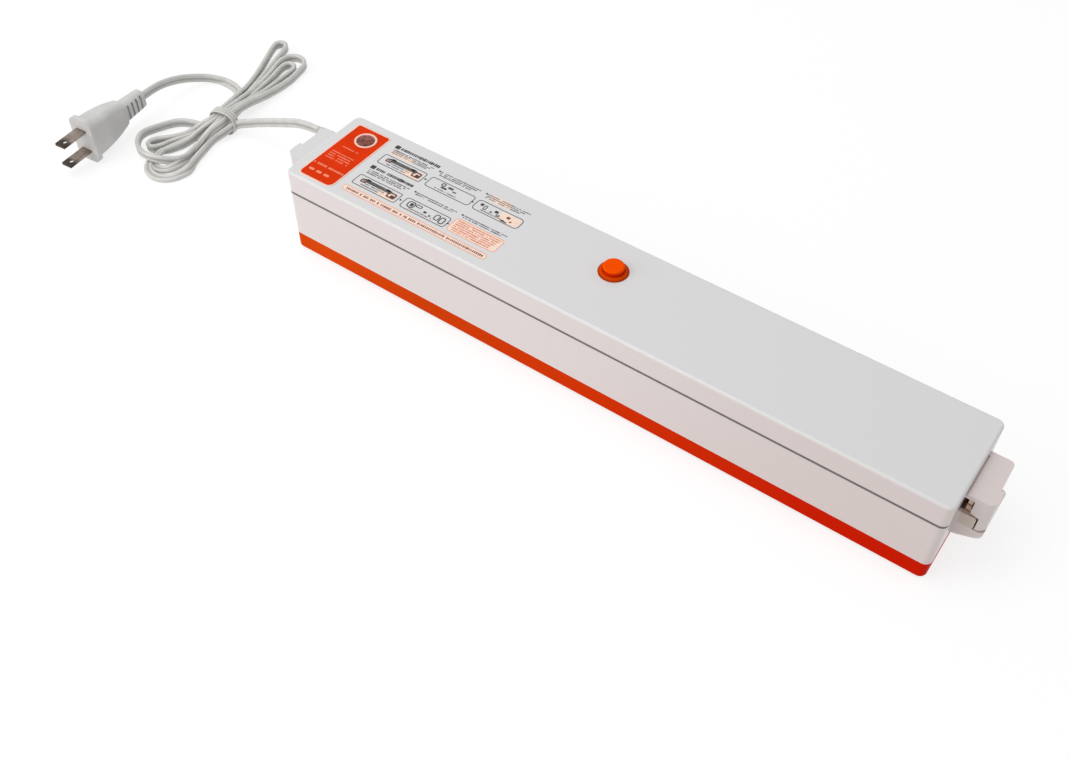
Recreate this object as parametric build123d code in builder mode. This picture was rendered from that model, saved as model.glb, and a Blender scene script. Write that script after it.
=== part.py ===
from build123d import *
import math
import os

os.makedirs("parts", exist_ok=True)

# Frame: X runs along the machine, +Y is the hinge side, +Z is up.
# The origin is on the table, under the middle of the machine. Millimetres.

# ---------------------------------------------------------------- driving dimensions
BODY_LENGTH = 341.0
BODY_DEPTH = 54.0
CORNER_RADIUS = 3.4
WALL = 2.2
EDGE_RADIUS = 1.4

FOOT_HEIGHT = 1.2
FOOT_RADIUS = 6.0
FOOT_SEAT = 0.8
FOOT_END_GAP = 34.5
FOOT_INSET = 11.5
TRAY_HEIGHT = 9.8
BASE_HEIGHT = 25.7
PARTING_GAP = 0.5
LID_HEIGHT = 12.2

SEAT_GAP = 0.3
RUNNING_GAP = 0.08

HINGE_RADIUS = 2.6
HINGE_GAP = 0.25
HINGE_RIB_WALL = 1.2
HINGE_RIB_DROP = 3.2
HINGE_PIN_RADIUS = 1.0
HINGE_PIN_LENGTH = 38.0
HINGE_STATION_INSET = 55.5
KNUCKLE_WIDTH = 14.0
HINGE_END_GAP = 19.5

EAR_DEPTH = 25.6
EAR_Y = -0.4
EAR_REACH = 12.1
EAR_STEP = 1.8
EAR_GRIP_DEPTH = 9.5
EAR_PLATE = 2.2
EAR_DROP = 3.8
EAR_GROOVE = 0.7
WEB_HEIGHT = 3.0
WEB_THICKNESS = 1.6
LEG_THICK_TOP = 7.8
LEG_THICK_LOW = 4.0
CATCH_HEIGHT = 7.1
CATCH_SLOPE = 1.2
SHELF_LEVEL = 16.8
SHELF_HEIGHT = 8.3
SHELF_LIP = 2.0
SHELF_ROUNDING = 1.8
SHELF_GAP = 0.6
HUB_LIFT = 0.5
CHEEK_ROUNDING = 1.2

LEVER_THICKNESS = 1.8
LEVER_HEIGHT = 12.4
LEVER_HUB = 2.3
LEVER_PIN_RADIUS = 1.1
LEVER_OFFSET = 2.8
NOSE_BITE = 0.7
NOSE_HEIGHT = 3.0
CHEEK = 1.9
CHEEK_SKIN = 0.6

DECK_THICKNESS = 2.0
DECK_FRONT_GAP = 0.3
LEDGE_THICKNESS = 1.6
LEDGE_WIDTH = 1.2
TROUGH_END_GAP = 20.5
TROUGH_DEPTH = 8.0
GASKET_FRONT_GAP = 0.5
GASKET_BACK_GAP = 3.15
PAN_WALL = 1.6
GASKET_WIDTH = 4.2
GASKET_LAND = 0.8
GASKET_GROOVE = 1.0
LOWER_GASKET_HEIGHT = 1.8
CHANNEL_WIDTH = 9.2
CHANNEL_END_GAP = 20.5
CHANNEL_DEPTH = 3.2
CHANNEL_INSET = 6.4
CHANNEL_WALL = 1.2

HEATER_BAR_WIDTH = 6.0
WIRE_WIDTH = 3.0
WIRE_THICKNESS = 0.3
TAPE_WIDTH = 8.6
TAPE_THICKNESS = 0.3
TERMINAL_LENGTH = 8.0

LINER_HEIGHT = 1.6
LINER_RISE = 2.4
STRIP_WIDTH = 6.0
STRIP_HEIGHT = 4.4
STRIP_CHANNEL_WALL = 1.2
LINER_SCREW_INSET = 7.5
LINER_SCREW_PITCH = 12.0
LINER_BOSS_RADIUS = 2.6
LINER_SCREW_RADIUS = 0.9
LINER_SCREW_HEAD = 2.0
LINER_SCREW_LENGTH = 6.0
LID_RIBS = 7
LID_RIB_END_GAP = 38.5
LID_RIB_THICKNESS = 1.2

LENS_INSET = 17.1
LENS_Y = 13.0
LENS_RADIUS = 4.4
LENS_RISE = 0.4
LENS_FLANGE = 1.0
LENS_FACETS = 8

VENT_X = -4.0
VENT_SEAL_MARGIN = 1.5
BEZEL_RADIUS = 7.15
BEZEL_HEIGHT = 1.1
CAP_RADIUS = 5.0
CAP_RISE = 3.9
CAP_WALL = 1.2
CAP_SKIRT = 0.8
CAP_GAP = 0.2
VENT_TRAVEL = 2.2
VENT_CLEARANCE = 0.4
STEM_RADIUS = 1.6
VENT_HOLE_RADIUS = 2.6
VENT_SEAL_RADIUS = 4.2
VENT_SEAL_HEIGHT = 1.2

BOSS_RADIUS = 3.2
BOSS_INSET = 6.8
BOSS_END_GAP = 18.5
BOSS_PITCH = 56.0
BOSS_HEIGHT = 12.0
BOSS_RIB_THICKNESS = 2.0
BOSS_RIB_LENGTH = 6.0
BOSS_RIB_HEIGHT = 8.0
BOSS_RIB_OFFSET = 2.0
SCREW_RADIUS = 1.2
SCREW_HEAD_RADIUS = 2.4
SCREW_HEAD_HEIGHT = 1.6
SCREW_LENGTH = 13.0
SCREW_GAP = 0.15
TONGUE_HEIGHT = 2.0
TONGUE_THICKNESS = 1.0
TONGUE_GAP = 0.2

SWITCH_END_GAP = 9.0
SWITCH_LENGTH = 8.0
SWITCH_DEPTH = 6.0
SWITCH_HEIGHT = 10.0
SWITCH_TRAVEL = 1.0
SWITCH_SHELF = 1.2
PLUNGER_RADIUS = 1.0
PLUNGER_RISE = 2.2
PEG_RADIUS = 1.3
PEG_HOLE_RADIUS = 2.4

MOTOR_RADIUS = 10.2
MOTOR_LENGTH = 32.0
MOTOR_X = 18.0
MOTOR_SADDLE = 3.0
SADDLE_INSET = 6.0
PUMP_RADIUS = 10.8
PUMP_LENGTH = 20.0
HOSE_RADIUS = 2.5
NIPPLE_RADIUS = 1.5
NIPPLE_LENGTH = 5.0
HOSE_BEND = 7.0
NOZZLE_END_GAP = 58.5
NOZZLE_FLANGE = 4.5

BOARD_LENGTH = 92.0
BOARD_WIDTH = 38.0
BOARD_THICKNESS = 1.6
BOARD_X = -44.0
STANDOFF_HEIGHT = 4.6
STANDOFF_RADIUS = 2.4
STANDOFF_INSET = 4.0
CAPACITOR_ROW_Y = 8.0
CAPACITOR_RADII = (5.0, 4.0, 3.2)
CAPACITOR_PITCH = 10.0
CAPACITOR_ASPECT = 2.6
RELAY_LENGTH = 19.0
RELAY_WIDTH = 15.5
RELAY_HEIGHT = 14.0
RELAY_INSET = 38.0
RELAY_Y = 6.0
TRANSFORMER_END_GAP = 36.5
TRANSFORMER_LENGTH = 30.0
TRANSFORMER_WIDTH = 26.0
TRANSFORMER_HEIGHT = 20.0

CORD_WIDTH = 5.2
CORD_TUBE_RADIUS = 1.6
RELIEF_RADIUS = 3.4
RELIEF_TIP_RADIUS = CORD_WIDTH / 2
RELIEF_LENGTH = 22.0
RELIEF_FLANGE = 1.2
RELIEF_NECK_RADIUS = 2.8
RELIEF_SLOTS = 3
CORD_EXIT_Y = 20.6
CORD_EXIT_Z = 33.0

PLUG_ANGLE = 5.5
PLUG_RELIEF_LENGTH = 16.0
PLUG_BODY_LENGTH = 25.6
PLUG_RELIEF_WIDTH = 10.8
PLUG_RELIEF_HEIGHT = 7.6
PLUG_SLOTS = 4
PLUG_SLOT_PITCH = 3.4
PLUG_SLOT_WIDTH = 1.3
PLUG_FLANGE_WIDTH = 27.0
PLUG_FLANGE_HEIGHT = 15.0
PLUG_FLANGE_THICKNESS = 2.6
PIN_SPACING = 12.7
PIN_LENGTH = 16.0
PIN_WIDTH = 6.3
PIN_THICKNESS = 1.5
PIN_HOLE_RADIUS = 1.5
PIN_HOLE_INSET = 4.0

# ---------------------------------------------------------------- derived places
HALF_LENGTH = BODY_LENGTH / 2
HALF_DEPTH = BODY_DEPTH / 2
INNER_LENGTH = BODY_LENGTH - 2 * WALL
INNER_DEPTH = BODY_DEPTH - 2 * WALL
INNER_RADIUS = CORNER_RADIUS - WALL

TRAY_BOTTOM = FOOT_HEIGHT
BASE_BOTTOM = TRAY_BOTTOM + TRAY_HEIGHT
BASE_TOP = BASE_BOTTOM + BASE_HEIGHT
LID_BOTTOM = BASE_TOP + PARTING_GAP
LID_TOP = LID_BOTTOM + LID_HEIGHT
TRAY_FLOOR = TRAY_BOTTOM + WALL

HINGE_Y = HALF_DEPTH - HINGE_RADIUS
HINGE_Z = LID_BOTTOM - SEAT_GAP
HINGE_STATION = HALF_LENGTH - HINGE_STATION_INSET
HINGE_HALF_SPAN = HALF_LENGTH - HINGE_END_GAP
GROOVE_RADIUS = HINGE_RADIUS + HINGE_GAP

PLATE_TOP = LID_TOP - EAR_DROP
PLATE_BOTTOM = PLATE_TOP - EAR_PLATE
CATCH_BOTTOM = PLATE_BOTTOM - CATCH_HEIGHT
EAR_OUTER = HALF_LENGTH + EAR_REACH
EAR_INNER_EDGE = EAR_OUTER - EAR_STEP
EAR_FRONT = EAR_Y - EAR_DEPTH / 2
EAR_BACK = EAR_Y + EAR_DEPTH / 2

LEVER_PIVOT_X = HALF_LENGTH + LEVER_OFFSET
SHELF_TOP = BASE_BOTTOM + SHELF_LEVEL
SHELF_BOTTOM = SHELF_TOP - SHELF_HEIGHT
LEG_BOTTOM = SHELF_TOP + SHELF_GAP
LEVER_PIVOT_Z = SHELF_TOP + LEVER_HUB + HUB_LIFT
LEVER_TOP = LEVER_PIVOT_Z + LEVER_HEIGHT
NOSE_TOP = CATCH_BOTTOM - SEAT_GAP
NOSE_TIP_X = EAR_OUTER - LEG_THICK_TOP + NOSE_BITE
LEVER_FRONT = EAR_FRONT + CHEEK + 2 * SEAT_GAP
LEVER_BACK = EAR_BACK - CHEEK - 2 * SEAT_GAP
LEVER_DEPTH = LEVER_BACK - LEVER_FRONT
CHEEK_OUTER = EAR_OUTER - LEG_THICK_LOW - SHELF_GAP
CHEEK_TOP = CATCH_BOTTOM - CATCH_SLOPE - SHELF_GAP

DECK_BOTTOM = BASE_TOP - DECK_THICKNESS
DECK_LENGTH = INNER_LENGTH - 2 * DECK_FRONT_GAP
DECK_FRONT = -INNER_DEPTH / 2 + DECK_FRONT_GAP
RIB_FRONT = HINGE_Y - GROOVE_RADIUS - HINGE_RIB_WALL
DECK_BACK = RIB_FRONT - DECK_FRONT_GAP
DECK_DEPTH = DECK_BACK - DECK_FRONT
DECK_Y = (DECK_BACK + DECK_FRONT) / 2
CHANNEL_LENGTH = BODY_LENGTH - 2 * CHANNEL_END_GAP
CHANNEL_Y = -INNER_DEPTH / 2 + CHANNEL_INSET
GASKET_FRONT = CHANNEL_Y + CHANNEL_WIDTH / 2 + CHANNEL_WALL + GASKET_FRONT_GAP
GASKET_BACK = DECK_BACK - GASKET_BACK_GAP
GASKET_OUTER_WIDTH = GASKET_BACK - GASKET_FRONT
GASKET_INNER_WIDTH = GASKET_OUTER_WIDTH - 2 * GASKET_WIDTH
TROUGH_WIDTH = GASKET_INNER_WIDTH - 2 * GASKET_LAND
TROUGH_LENGTH = BODY_LENGTH - 2 * TROUGH_END_GAP
TROUGH_Y = (GASKET_BACK + GASKET_FRONT) / 2
TROUGH_FLOOR = BASE_TOP - TROUGH_DEPTH
PAN_BOTTOM = TROUGH_FLOOR - PAN_WALL
GASKET_INNER_LENGTH = TROUGH_LENGTH + 2 * GASKET_LAND
GASKET_OUTER_LENGTH = GASKET_INNER_LENGTH + 2 * GASKET_WIDTH
GASKET_SEAT = BASE_TOP - GASKET_GROOVE
GASKET_TOP = GASKET_SEAT + LOWER_GASKET_HEIGHT
CHANNEL_FLOOR = BASE_TOP - CHANNEL_DEPTH

LINER_BOTTOM = LID_BOTTOM + LINER_RISE
LINER_TOP = LINER_BOTTOM + LINER_HEIGHT
LINER_BACK = HINGE_Y - GROOVE_RADIUS - SEAT_GAP
LINER_FRONT = DECK_FRONT
LINER_Y = (LINER_BACK + LINER_FRONT) / 2
LINER_DEPTH = LINER_BACK - LINER_FRONT
LID_CEILING = LID_TOP - WALL - 0.2
LID_RIB_PITCH = (BODY_LENGTH - 2 * LID_RIB_END_GAP) / (LID_RIBS - 1)
TAPE_TOP = BASE_TOP + TAPE_THICKNESS
STRIP_BOTTOM = TAPE_TOP + SEAT_GAP
STRIP_TOP = STRIP_BOTTOM + STRIP_HEIGHT

VENT_Y = TROUGH_Y + GASKET_INNER_WIDTH / 2 - VENT_SEAL_RADIUS - VENT_SEAL_MARGIN
WELL_DEPTH = CAP_SKIRT + VENT_TRAVEL + VENT_CLEARANCE
WELL_FLOOR = LID_TOP - WELL_DEPTH
WELL_WALL = 1.2
CAP_TOP = LID_TOP + CAP_RISE
CAP_BOTTOM = LID_TOP - CAP_SKIRT
CAP_CEILING = CAP_TOP - CAP_WALL
VENT_SEAL_TOP = LINER_BOTTOM - 0.1

BOSS_Y = HALF_DEPTH - BOSS_INSET
BOSS_X = HALF_LENGTH - BOSS_END_GAP
MIDDLE_BOSS_X = BOSS_X - BOSS_PITCH
BOSS_STATIONS = (-BOSS_X, -MIDDLE_BOSS_X, MIDDLE_BOSS_X, BOSS_X)
BOSS_TOP = BASE_BOTTOM + BOSS_HEIGHT
FOOT_X = HALF_LENGTH - FOOT_END_GAP
FOOT_Y = HALF_DEPTH - FOOT_INSET
LINER_SCREW_X = HALF_LENGTH - LINER_SCREW_INSET
LENS_X = -HALF_LENGTH + LENS_INSET

AXLE_HEIGHT = TRAY_FLOOR + PUMP_RADIUS + SEAT_GAP
PUMP_X = MOTOR_X + MOTOR_LENGTH
PUMP_END = PUMP_X + PUMP_LENGTH
NOZZLE_X = HALF_LENGTH - NOZZLE_END_GAP
TRANSFORMER_X = -HALF_LENGTH + TRANSFORMER_END_GAP
BOARD_BOTTOM = TRAY_FLOOR + STANDOFF_HEIGHT
BOARD_TOP = BOARD_BOTTOM + BOARD_THICKNESS

SWITCH_X = HALF_LENGTH - SWITCH_END_GAP
SWITCH_Y = -INNER_DEPTH / 2 + SEAT_GAP + SWITCH_DEPTH / 2
PEG_BOTTOM = BASE_TOP - 3.2
SWITCH_TOP = PEG_BOTTOM - SEAT_GAP - PLUNGER_RISE
SWITCH_BOTTOM = SWITCH_TOP - SWITCH_HEIGHT

# Route of the cord, one point per bend, from the strain relief to the hank.
RELIEF_TIP = Vector(-HALF_LENGTH - RELIEF_LENGTH, CORD_EXIT_Y, CORD_EXIT_Z)
LEAD_ROUTE = [
    RELIEF_TIP,
    Vector(-204.5, CORD_EXIT_Y, CORD_EXIT_Z),
    Vector(-224.0, 23.0, 23.3),
    Vector(-241.0, 24.2, 14.6),
    Vector(-254.0, 23.6, 7.2),
    Vector(-263.0, 20.8, 4.8),
    Vector(-269.5, 17.0, 4.6),
]

# Route of the cord from the hank to the plug, which stands on its narrow side.
PLUG_DIRECTION = Vector(
    math.sin(math.radians(PLUG_ANGLE)), -math.cos(math.radians(PLUG_ANGLE)), 0.0
)
PLUG_TAIL = Vector(-313.7, 1.5, PLUG_FLANGE_WIDTH / 2 + SEAT_GAP)
TAIL_ROUTE = [
    Vector(-270.5, 22.0, 3.6),
    Vector(-277.0, 42.5, 2.7),
    Vector(-291.0, 51.0, 2.3),
    Vector(-305.5, 50.0, 2.8),
    Vector(-315.0, 38.5, 5.8),
    Vector(-316.2, 25.5, 10.4),
    PLUG_TAIL - PLUG_DIRECTION * 11.0,
    PLUG_TAIL,
]

NECK = (-269.0, 19.5)
NECK_RADIUS = 6.4
HANK_HEIGHT = 7.0
HANK_DIRECTION = 103.0
TIE_WIDTH = 7.0
TIE_THICKNESS = 0.9


def save(part, name):
    """Labels one finished piece and writes its STEP file."""
    part.label = name
    export_step(part, "parts/" + name + ".step")


def arc_radii(route):
    """Gives each corner the largest arc that its two runs allow."""
    radii = []
    for before, corner, after in zip(route, route[1:], route[2:]):
        run_in = corner - before
        run_out = after - corner
        half_turn = math.radians(run_in.get_angle(run_out)) / 2
        shorter = min(run_in.length, run_out.length)
        radii.append(0.45 * shorter / math.tan(half_turn))
    return radii


def cord_tube(route, name):
    """Sweeps a round tube along straight runs joined by tangent arcs."""
    radii = arc_radii(route)
    print(name, "radii", [round(r, 1) for r in radii])
    with BuildPart() as tube:
        with BuildLine() as path:
            FilletPolyline(*route, radius=radii)
        start = Plane(origin=route[0], z_dir=route[1] - route[0])
        with BuildSketch(start):
            Circle(CORD_TUBE_RADIUS)
        sweep(path=path.line)
    section = math.pi * CORD_TUBE_RADIUS**2
    print(name, "volume", tube.part.volume, "expected", section * path.wire().length)
    return tube.part


# ---------------------------------------------------------------- bottom tray
with BuildPart() as base_tray:
    with BuildSketch(Plane.XY.offset(TRAY_BOTTOM)):
        RectangleRounded(BODY_LENGTH, BODY_DEPTH, CORNER_RADIUS)
    extrude(amount=TRAY_HEIGHT)
    fillet(base_tray.faces().sort_by(Axis.Z)[0].edges(), EDGE_RADIUS)
    with BuildSketch(Plane.XY.offset(TRAY_FLOOR)):
        RectangleRounded(INNER_LENGTH, INNER_DEPTH, INNER_RADIUS)
    extrude(amount=TRAY_HEIGHT, mode=Mode.SUBTRACT)
    # Tongue that locates the tray inside the white housing.
    with BuildSketch(Plane.XY.offset(TRAY_FLOOR)):
        RectangleRounded(INNER_LENGTH, INNER_DEPTH, INNER_RADIUS)
        RectangleRounded(
            INNER_LENGTH - 2 * (TONGUE_THICKNESS + TONGUE_GAP),
            INNER_DEPTH - 2 * (TONGUE_THICKNESS + TONGUE_GAP),
            INNER_RADIUS / 2,
            mode=Mode.SUBTRACT,
        )
    extrude(amount=BASE_BOTTOM - TRAY_FLOOR)
    with BuildSketch(Plane.XY.offset(BASE_BOTTOM)):
        RectangleRounded(
            INNER_LENGTH - 2 * TONGUE_GAP, INNER_DEPTH - 2 * TONGUE_GAP, INNER_RADIUS
        )
        RectangleRounded(
            INNER_LENGTH - 2 * (TONGUE_THICKNESS + TONGUE_GAP),
            INNER_DEPTH - 2 * (TONGUE_THICKNESS + TONGUE_GAP),
            INNER_RADIUS / 2,
            mode=Mode.SUBTRACT,
        )
    extrude(amount=TONGUE_HEIGHT)
    # Screw bosses, drilled and counterbored from below.
    with BuildSketch(Plane.XY.offset(TRAY_FLOOR)):
        for x in BOSS_STATIONS:
            with Locations((x, BOSS_Y), (x, -BOSS_Y)):
                Circle(BOSS_RADIUS)
    extrude(amount=BASE_BOTTOM - TRAY_FLOOR)
    for x in BOSS_STATIONS:
        with Locations((x, BOSS_Y, TRAY_BOTTOM), (x, -BOSS_Y, TRAY_BOTTOM)):
            with Locations(Rotation(180, 0, 0)):
                CounterBoreHole(
                    SCREW_RADIUS + SCREW_GAP,
                    SCREW_HEAD_RADIUS + SCREW_GAP,
                    SCREW_HEAD_HEIGHT + SCREW_GAP,
                    depth=TRAY_HEIGHT + TONGUE_HEIGHT,
                )
    # Shallow seats for the rubber feet.
    with BuildSketch(Plane.XY.offset(TRAY_BOTTOM)):
        with GridLocations(2 * FOOT_X, 2 * FOOT_Y, 2, 2):
            Circle(FOOT_RADIUS + TONGUE_GAP)
    extrude(amount=FOOT_SEAT, mode=Mode.SUBTRACT)
    # Saddles that cradle the pump motor.
    with BuildSketch(Plane.XY.offset(TRAY_FLOOR)):
        for x in (MOTOR_X + SADDLE_INSET, MOTOR_X + MOTOR_LENGTH - SADDLE_INSET):
            with Locations((x, TROUGH_Y)):
                Rectangle(MOTOR_SADDLE, 2 * MOTOR_RADIUS)
    extrude(amount=AXLE_HEIGHT - TRAY_FLOOR)
    with BuildSketch(Plane.YZ.offset(MOTOR_X - 1.0)):
        with Locations((TROUGH_Y, AXLE_HEIGHT)):
            Circle(MOTOR_RADIUS + TONGUE_GAP)
    extrude(amount=MOTOR_LENGTH, mode=Mode.SUBTRACT)
    # Standoffs under the circuit board.
    with BuildSketch(Plane.XY.offset(TRAY_FLOOR)):
        with Locations((BOARD_X, 0)):
            with GridLocations(
                BOARD_LENGTH - 2 * STANDOFF_INSET, BOARD_WIDTH - 2 * STANDOFF_INSET, 2, 2
            ):
                Circle(STANDOFF_RADIUS)
    extrude(amount=STANDOFF_HEIGHT)
save(base_tray.part, "base_tray")

with BuildPart() as rubber_feet:
    with BuildSketch():
        with GridLocations(2 * FOOT_X, 2 * FOOT_Y, 2, 2):
            Circle(FOOT_RADIUS)
    extrude(amount=FOOT_HEIGHT + FOOT_SEAT)
    fillet(rubber_feet.faces().group_by(Axis.Z)[0].edges(), 0.5)
save(rubber_feet.part, "rubber_feet")

with BuildPart() as tray_screws:
    for x in BOSS_STATIONS:
        with Locations((x, BOSS_Y, 0), (x, -BOSS_Y, 0)):
            with Locations((0, 0, TRAY_BOTTOM + SCREW_GAP + 0.2)):
                Cylinder(
                    SCREW_HEAD_RADIUS,
                    SCREW_HEAD_HEIGHT - 0.2,
                    align=(Align.CENTER, Align.CENTER, Align.MIN),
                )
            with Locations((0, 0, TRAY_BOTTOM + SCREW_HEAD_HEIGHT)):
                Cylinder(
                    SCREW_RADIUS,
                    SCREW_LENGTH,
                    align=(Align.CENTER, Align.CENTER, Align.MIN),
                )
save(tray_screws.part, "tray_screws")

# ---------------------------------------------------------------- base shell
with BuildPart() as base_shell:
    with BuildSketch(Plane.XY.offset(BASE_BOTTOM)):
        RectangleRounded(BODY_LENGTH, BODY_DEPTH, CORNER_RADIUS)
        RectangleRounded(INNER_LENGTH, INNER_DEPTH, INNER_RADIUS, mode=Mode.SUBTRACT)
    extrude(amount=BASE_HEIGHT)
    # Ledges inside the front wall and the end walls, under the deck.
    with BuildSketch(Plane.XY.offset(DECK_BOTTOM - LEDGE_THICKNESS)):
        RectangleRounded(INNER_LENGTH + WALL, INNER_DEPTH + WALL, INNER_RADIUS)
        Rectangle(
            INNER_LENGTH - 2.5 * LEDGE_WIDTH, INNER_DEPTH - 2 * LEDGE_WIDTH, mode=Mode.SUBTRACT
        )
        Rectangle(CHANNEL_LENGTH + 4 * CHANNEL_WALL, BODY_DEPTH, mode=Mode.SUBTRACT)
    extrude(amount=LEDGE_THICKNESS)
    # Hinge rib along the back wall, with the groove that the lid's barrel turns in.
    with BuildSketch(Plane.XY.offset(DECK_BOTTOM - HINGE_RIB_DROP)):
        with Locations((0, (RIB_FRONT + HALF_DEPTH) / 2)):
            Rectangle(2 * (HINGE_HALF_SPAN + HINGE_RIB_WALL), HALF_DEPTH - RIB_FRONT)
    extrude(amount=BASE_TOP - DECK_BOTTOM + HINGE_RIB_DROP)
    with BuildSketch(Plane.YZ.offset(-HINGE_HALF_SPAN - HINGE_GAP)):
        with Locations((HINGE_Y, HINGE_Z)):
            Circle(GROOVE_RADIUS)
    extrude(amount=2 * (HINGE_HALF_SPAN + HINGE_GAP), mode=Mode.SUBTRACT)
    # Shoulder that lets the lid's rear wall swing down behind the base.
    with BuildSketch(Plane.YZ.offset(-HALF_LENGTH)):
        with Locations((HINGE_Y, HINGE_Z - GROOVE_RADIUS)):
            Rectangle(
                2 * HINGE_RADIUS, 2 * GROOVE_RADIUS, align=(Align.MIN, Align.MIN)
            )
    extrude(amount=BODY_LENGTH, mode=Mode.SUBTRACT)
    # Knuckles of the base, bored for the hinge pins.
    for x in (-HINGE_STATION, HINGE_STATION):
        with BuildSketch(Plane.YZ.offset(x - KNUCKLE_WIDTH / 2)):
            with Locations((HINGE_Y, HINGE_Z)):
                Circle(HINGE_RADIUS)
            with Locations((RIB_FRONT, HINGE_Z - GROOVE_RADIUS - 0.4)):
                Rectangle(
                    HINGE_Y - RIB_FRONT + 0.5,
                    GROOVE_RADIUS + 0.2,
                    align=(Align.MIN, Align.MIN),
                )
        extrude(amount=KNUCKLE_WIDTH)
    with BuildSketch(Plane.YZ.offset(-HALF_LENGTH)):
        with Locations((HINGE_Y, HINGE_Z)):
            Circle(HINGE_PIN_RADIUS)
    extrude(amount=BODY_LENGTH, mode=Mode.SUBTRACT)
    # Screw bosses with their ribs to the long walls.
    with BuildSketch(Plane.XY.offset(BASE_BOTTOM)):
        for x in BOSS_STATIONS:
            with Locations((x, BOSS_Y), (x, -BOSS_Y)):
                Circle(BOSS_RADIUS)
    extrude(amount=BOSS_TOP - BASE_BOTTOM)
    with BuildSketch(Plane.XY.offset(BASE_BOTTOM + TONGUE_HEIGHT + 1.0)):
        for x in BOSS_STATIONS:
            with Locations((x, BOSS_Y + BOSS_RIB_OFFSET), (x, -BOSS_Y - BOSS_RIB_OFFSET)):
                Rectangle(BOSS_RIB_THICKNESS, BOSS_RIB_LENGTH)
    extrude(amount=BOSS_RIB_HEIGHT)
    with BuildSketch(Plane.XY.offset(BASE_BOTTOM)):
        for x in BOSS_STATIONS:
            with Locations((x, BOSS_Y), (x, -BOSS_Y)):
                Circle(SCREW_RADIUS)
    extrude(amount=SCREW_LENGTH - TRAY_HEIGHT + SCREW_HEAD_HEIGHT + 1.0, mode=Mode.SUBTRACT)
    # Shelves that carry the lid switches.
    with BuildSketch(Plane.XY.offset(SWITCH_BOTTOM - SEAT_GAP - SWITCH_SHELF)):
        with GridLocations(2 * SWITCH_X, 0, 2, 1):
            with Locations((0, -INNER_DEPTH / 2)):
                Rectangle(SWITCH_LENGTH + WALL, 2 * SWITCH_DEPTH)
        Rectangle(BODY_LENGTH - WALL, BODY_DEPTH - WALL, mode=Mode.INTERSECT)
    extrude(amount=SWITCH_SHELF)
    # Ears: a rounded shelf at each end with two cheeks for the latch pin.
    for side in (-1, 1):
        with BuildSketch(Plane.XZ.offset(-EAR_BACK)):
            with BuildLine():
                Polyline(
                    (side * (HALF_LENGTH - WALL / 2), SHELF_TOP),
                    (side * EAR_OUTER, SHELF_TOP),
                    (side * EAR_OUTER, SHELF_TOP - SHELF_LIP),
                )
                Spline(
                    (side * EAR_OUTER, SHELF_TOP - SHELF_LIP),
                    (side * (EAR_OUTER - 1.3 * SHELF_LIP), SHELF_TOP - 2.8 * SHELF_LIP),
                    (side * (HALF_LENGTH + 0.46 * EAR_REACH), SHELF_BOTTOM + 0.55 * SHELF_LIP),
                    (side * HALF_LENGTH, SHELF_BOTTOM - SHELF_GAP),
                    tangents=[(0, -1), (-side, -0.15)],
                )
                Polyline(
                    (side * HALF_LENGTH, SHELF_BOTTOM - SHELF_GAP),
                    (side * (HALF_LENGTH - WALL / 2), SHELF_BOTTOM - SHELF_GAP),
                    (side * (HALF_LENGTH - WALL / 2), SHELF_TOP),
                )
            make_face()
        extrude(amount=EAR_DEPTH)
        for y in (EAR_FRONT, EAR_BACK - CHEEK):
            with BuildSketch(Plane.XZ.offset(-y - CHEEK)):
                with Locations((side * (CHEEK_OUTER - CHEEK_ROUNDING), CHEEK_TOP - CHEEK_ROUNDING)):
                    Circle(CHEEK_ROUNDING)
                with Locations((side * (CHEEK_OUTER - CHEEK_ROUNDING / 2), SHELF_TOP - HUB_LIFT)):
                    Rectangle(
                        CHEEK_ROUNDING,
                        CHEEK_TOP - CHEEK_ROUNDING - SHELF_TOP + HUB_LIFT,
                        align=(Align.CENTER, Align.MIN),
                    )
                with Locations((side * (HALF_LENGTH - WALL / 4), SHELF_TOP - HUB_LIFT)):
                    Rectangle(
                        WALL / 2,
                        CHEEK_TOP - SHELF_TOP + HUB_LIFT,
                        align=(Align.CENTER, Align.MIN),
                    )
                make_hull()
            extrude(amount=CHEEK)
    corners = base_shell.edges().filter_by(Axis.Z).filter_by(
        lambda e: abs(e.center().X) > EAR_OUTER - 0.1
    )
    fillet(corners, SHELF_ROUNDING)
    with BuildSketch(Plane.XZ.offset(-EAR_BACK)):
        with Locations((LEVER_PIVOT_X, LEVER_PIVOT_Z), (-LEVER_PIVOT_X, LEVER_PIVOT_Z)):
            Circle(LEVER_PIN_RADIUS)
    extrude(amount=EAR_DEPTH - CHEEK_SKIN, mode=Mode.SUBTRACT)
    # Hole for the strain relief in the left end wall, and room for its inner flange.
    with BuildSketch(Plane.YZ.offset(-HALF_LENGTH)):
        with Locations((CORD_EXIT_Y, CORD_EXIT_Z)):
            Circle(RELIEF_NECK_RADIUS)
    extrude(amount=WALL, mode=Mode.SUBTRACT)
    with BuildSketch(Plane.YZ.offset(-HALF_LENGTH + WALL)):
        with Locations((CORD_EXIT_Y, CORD_EXIT_Z)):
            Circle(RELIEF_RADIUS + TONGUE_GAP)
    extrude(amount=2 * WALL, mode=Mode.SUBTRACT)
save(base_shell.part, "base_shell")

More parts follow.
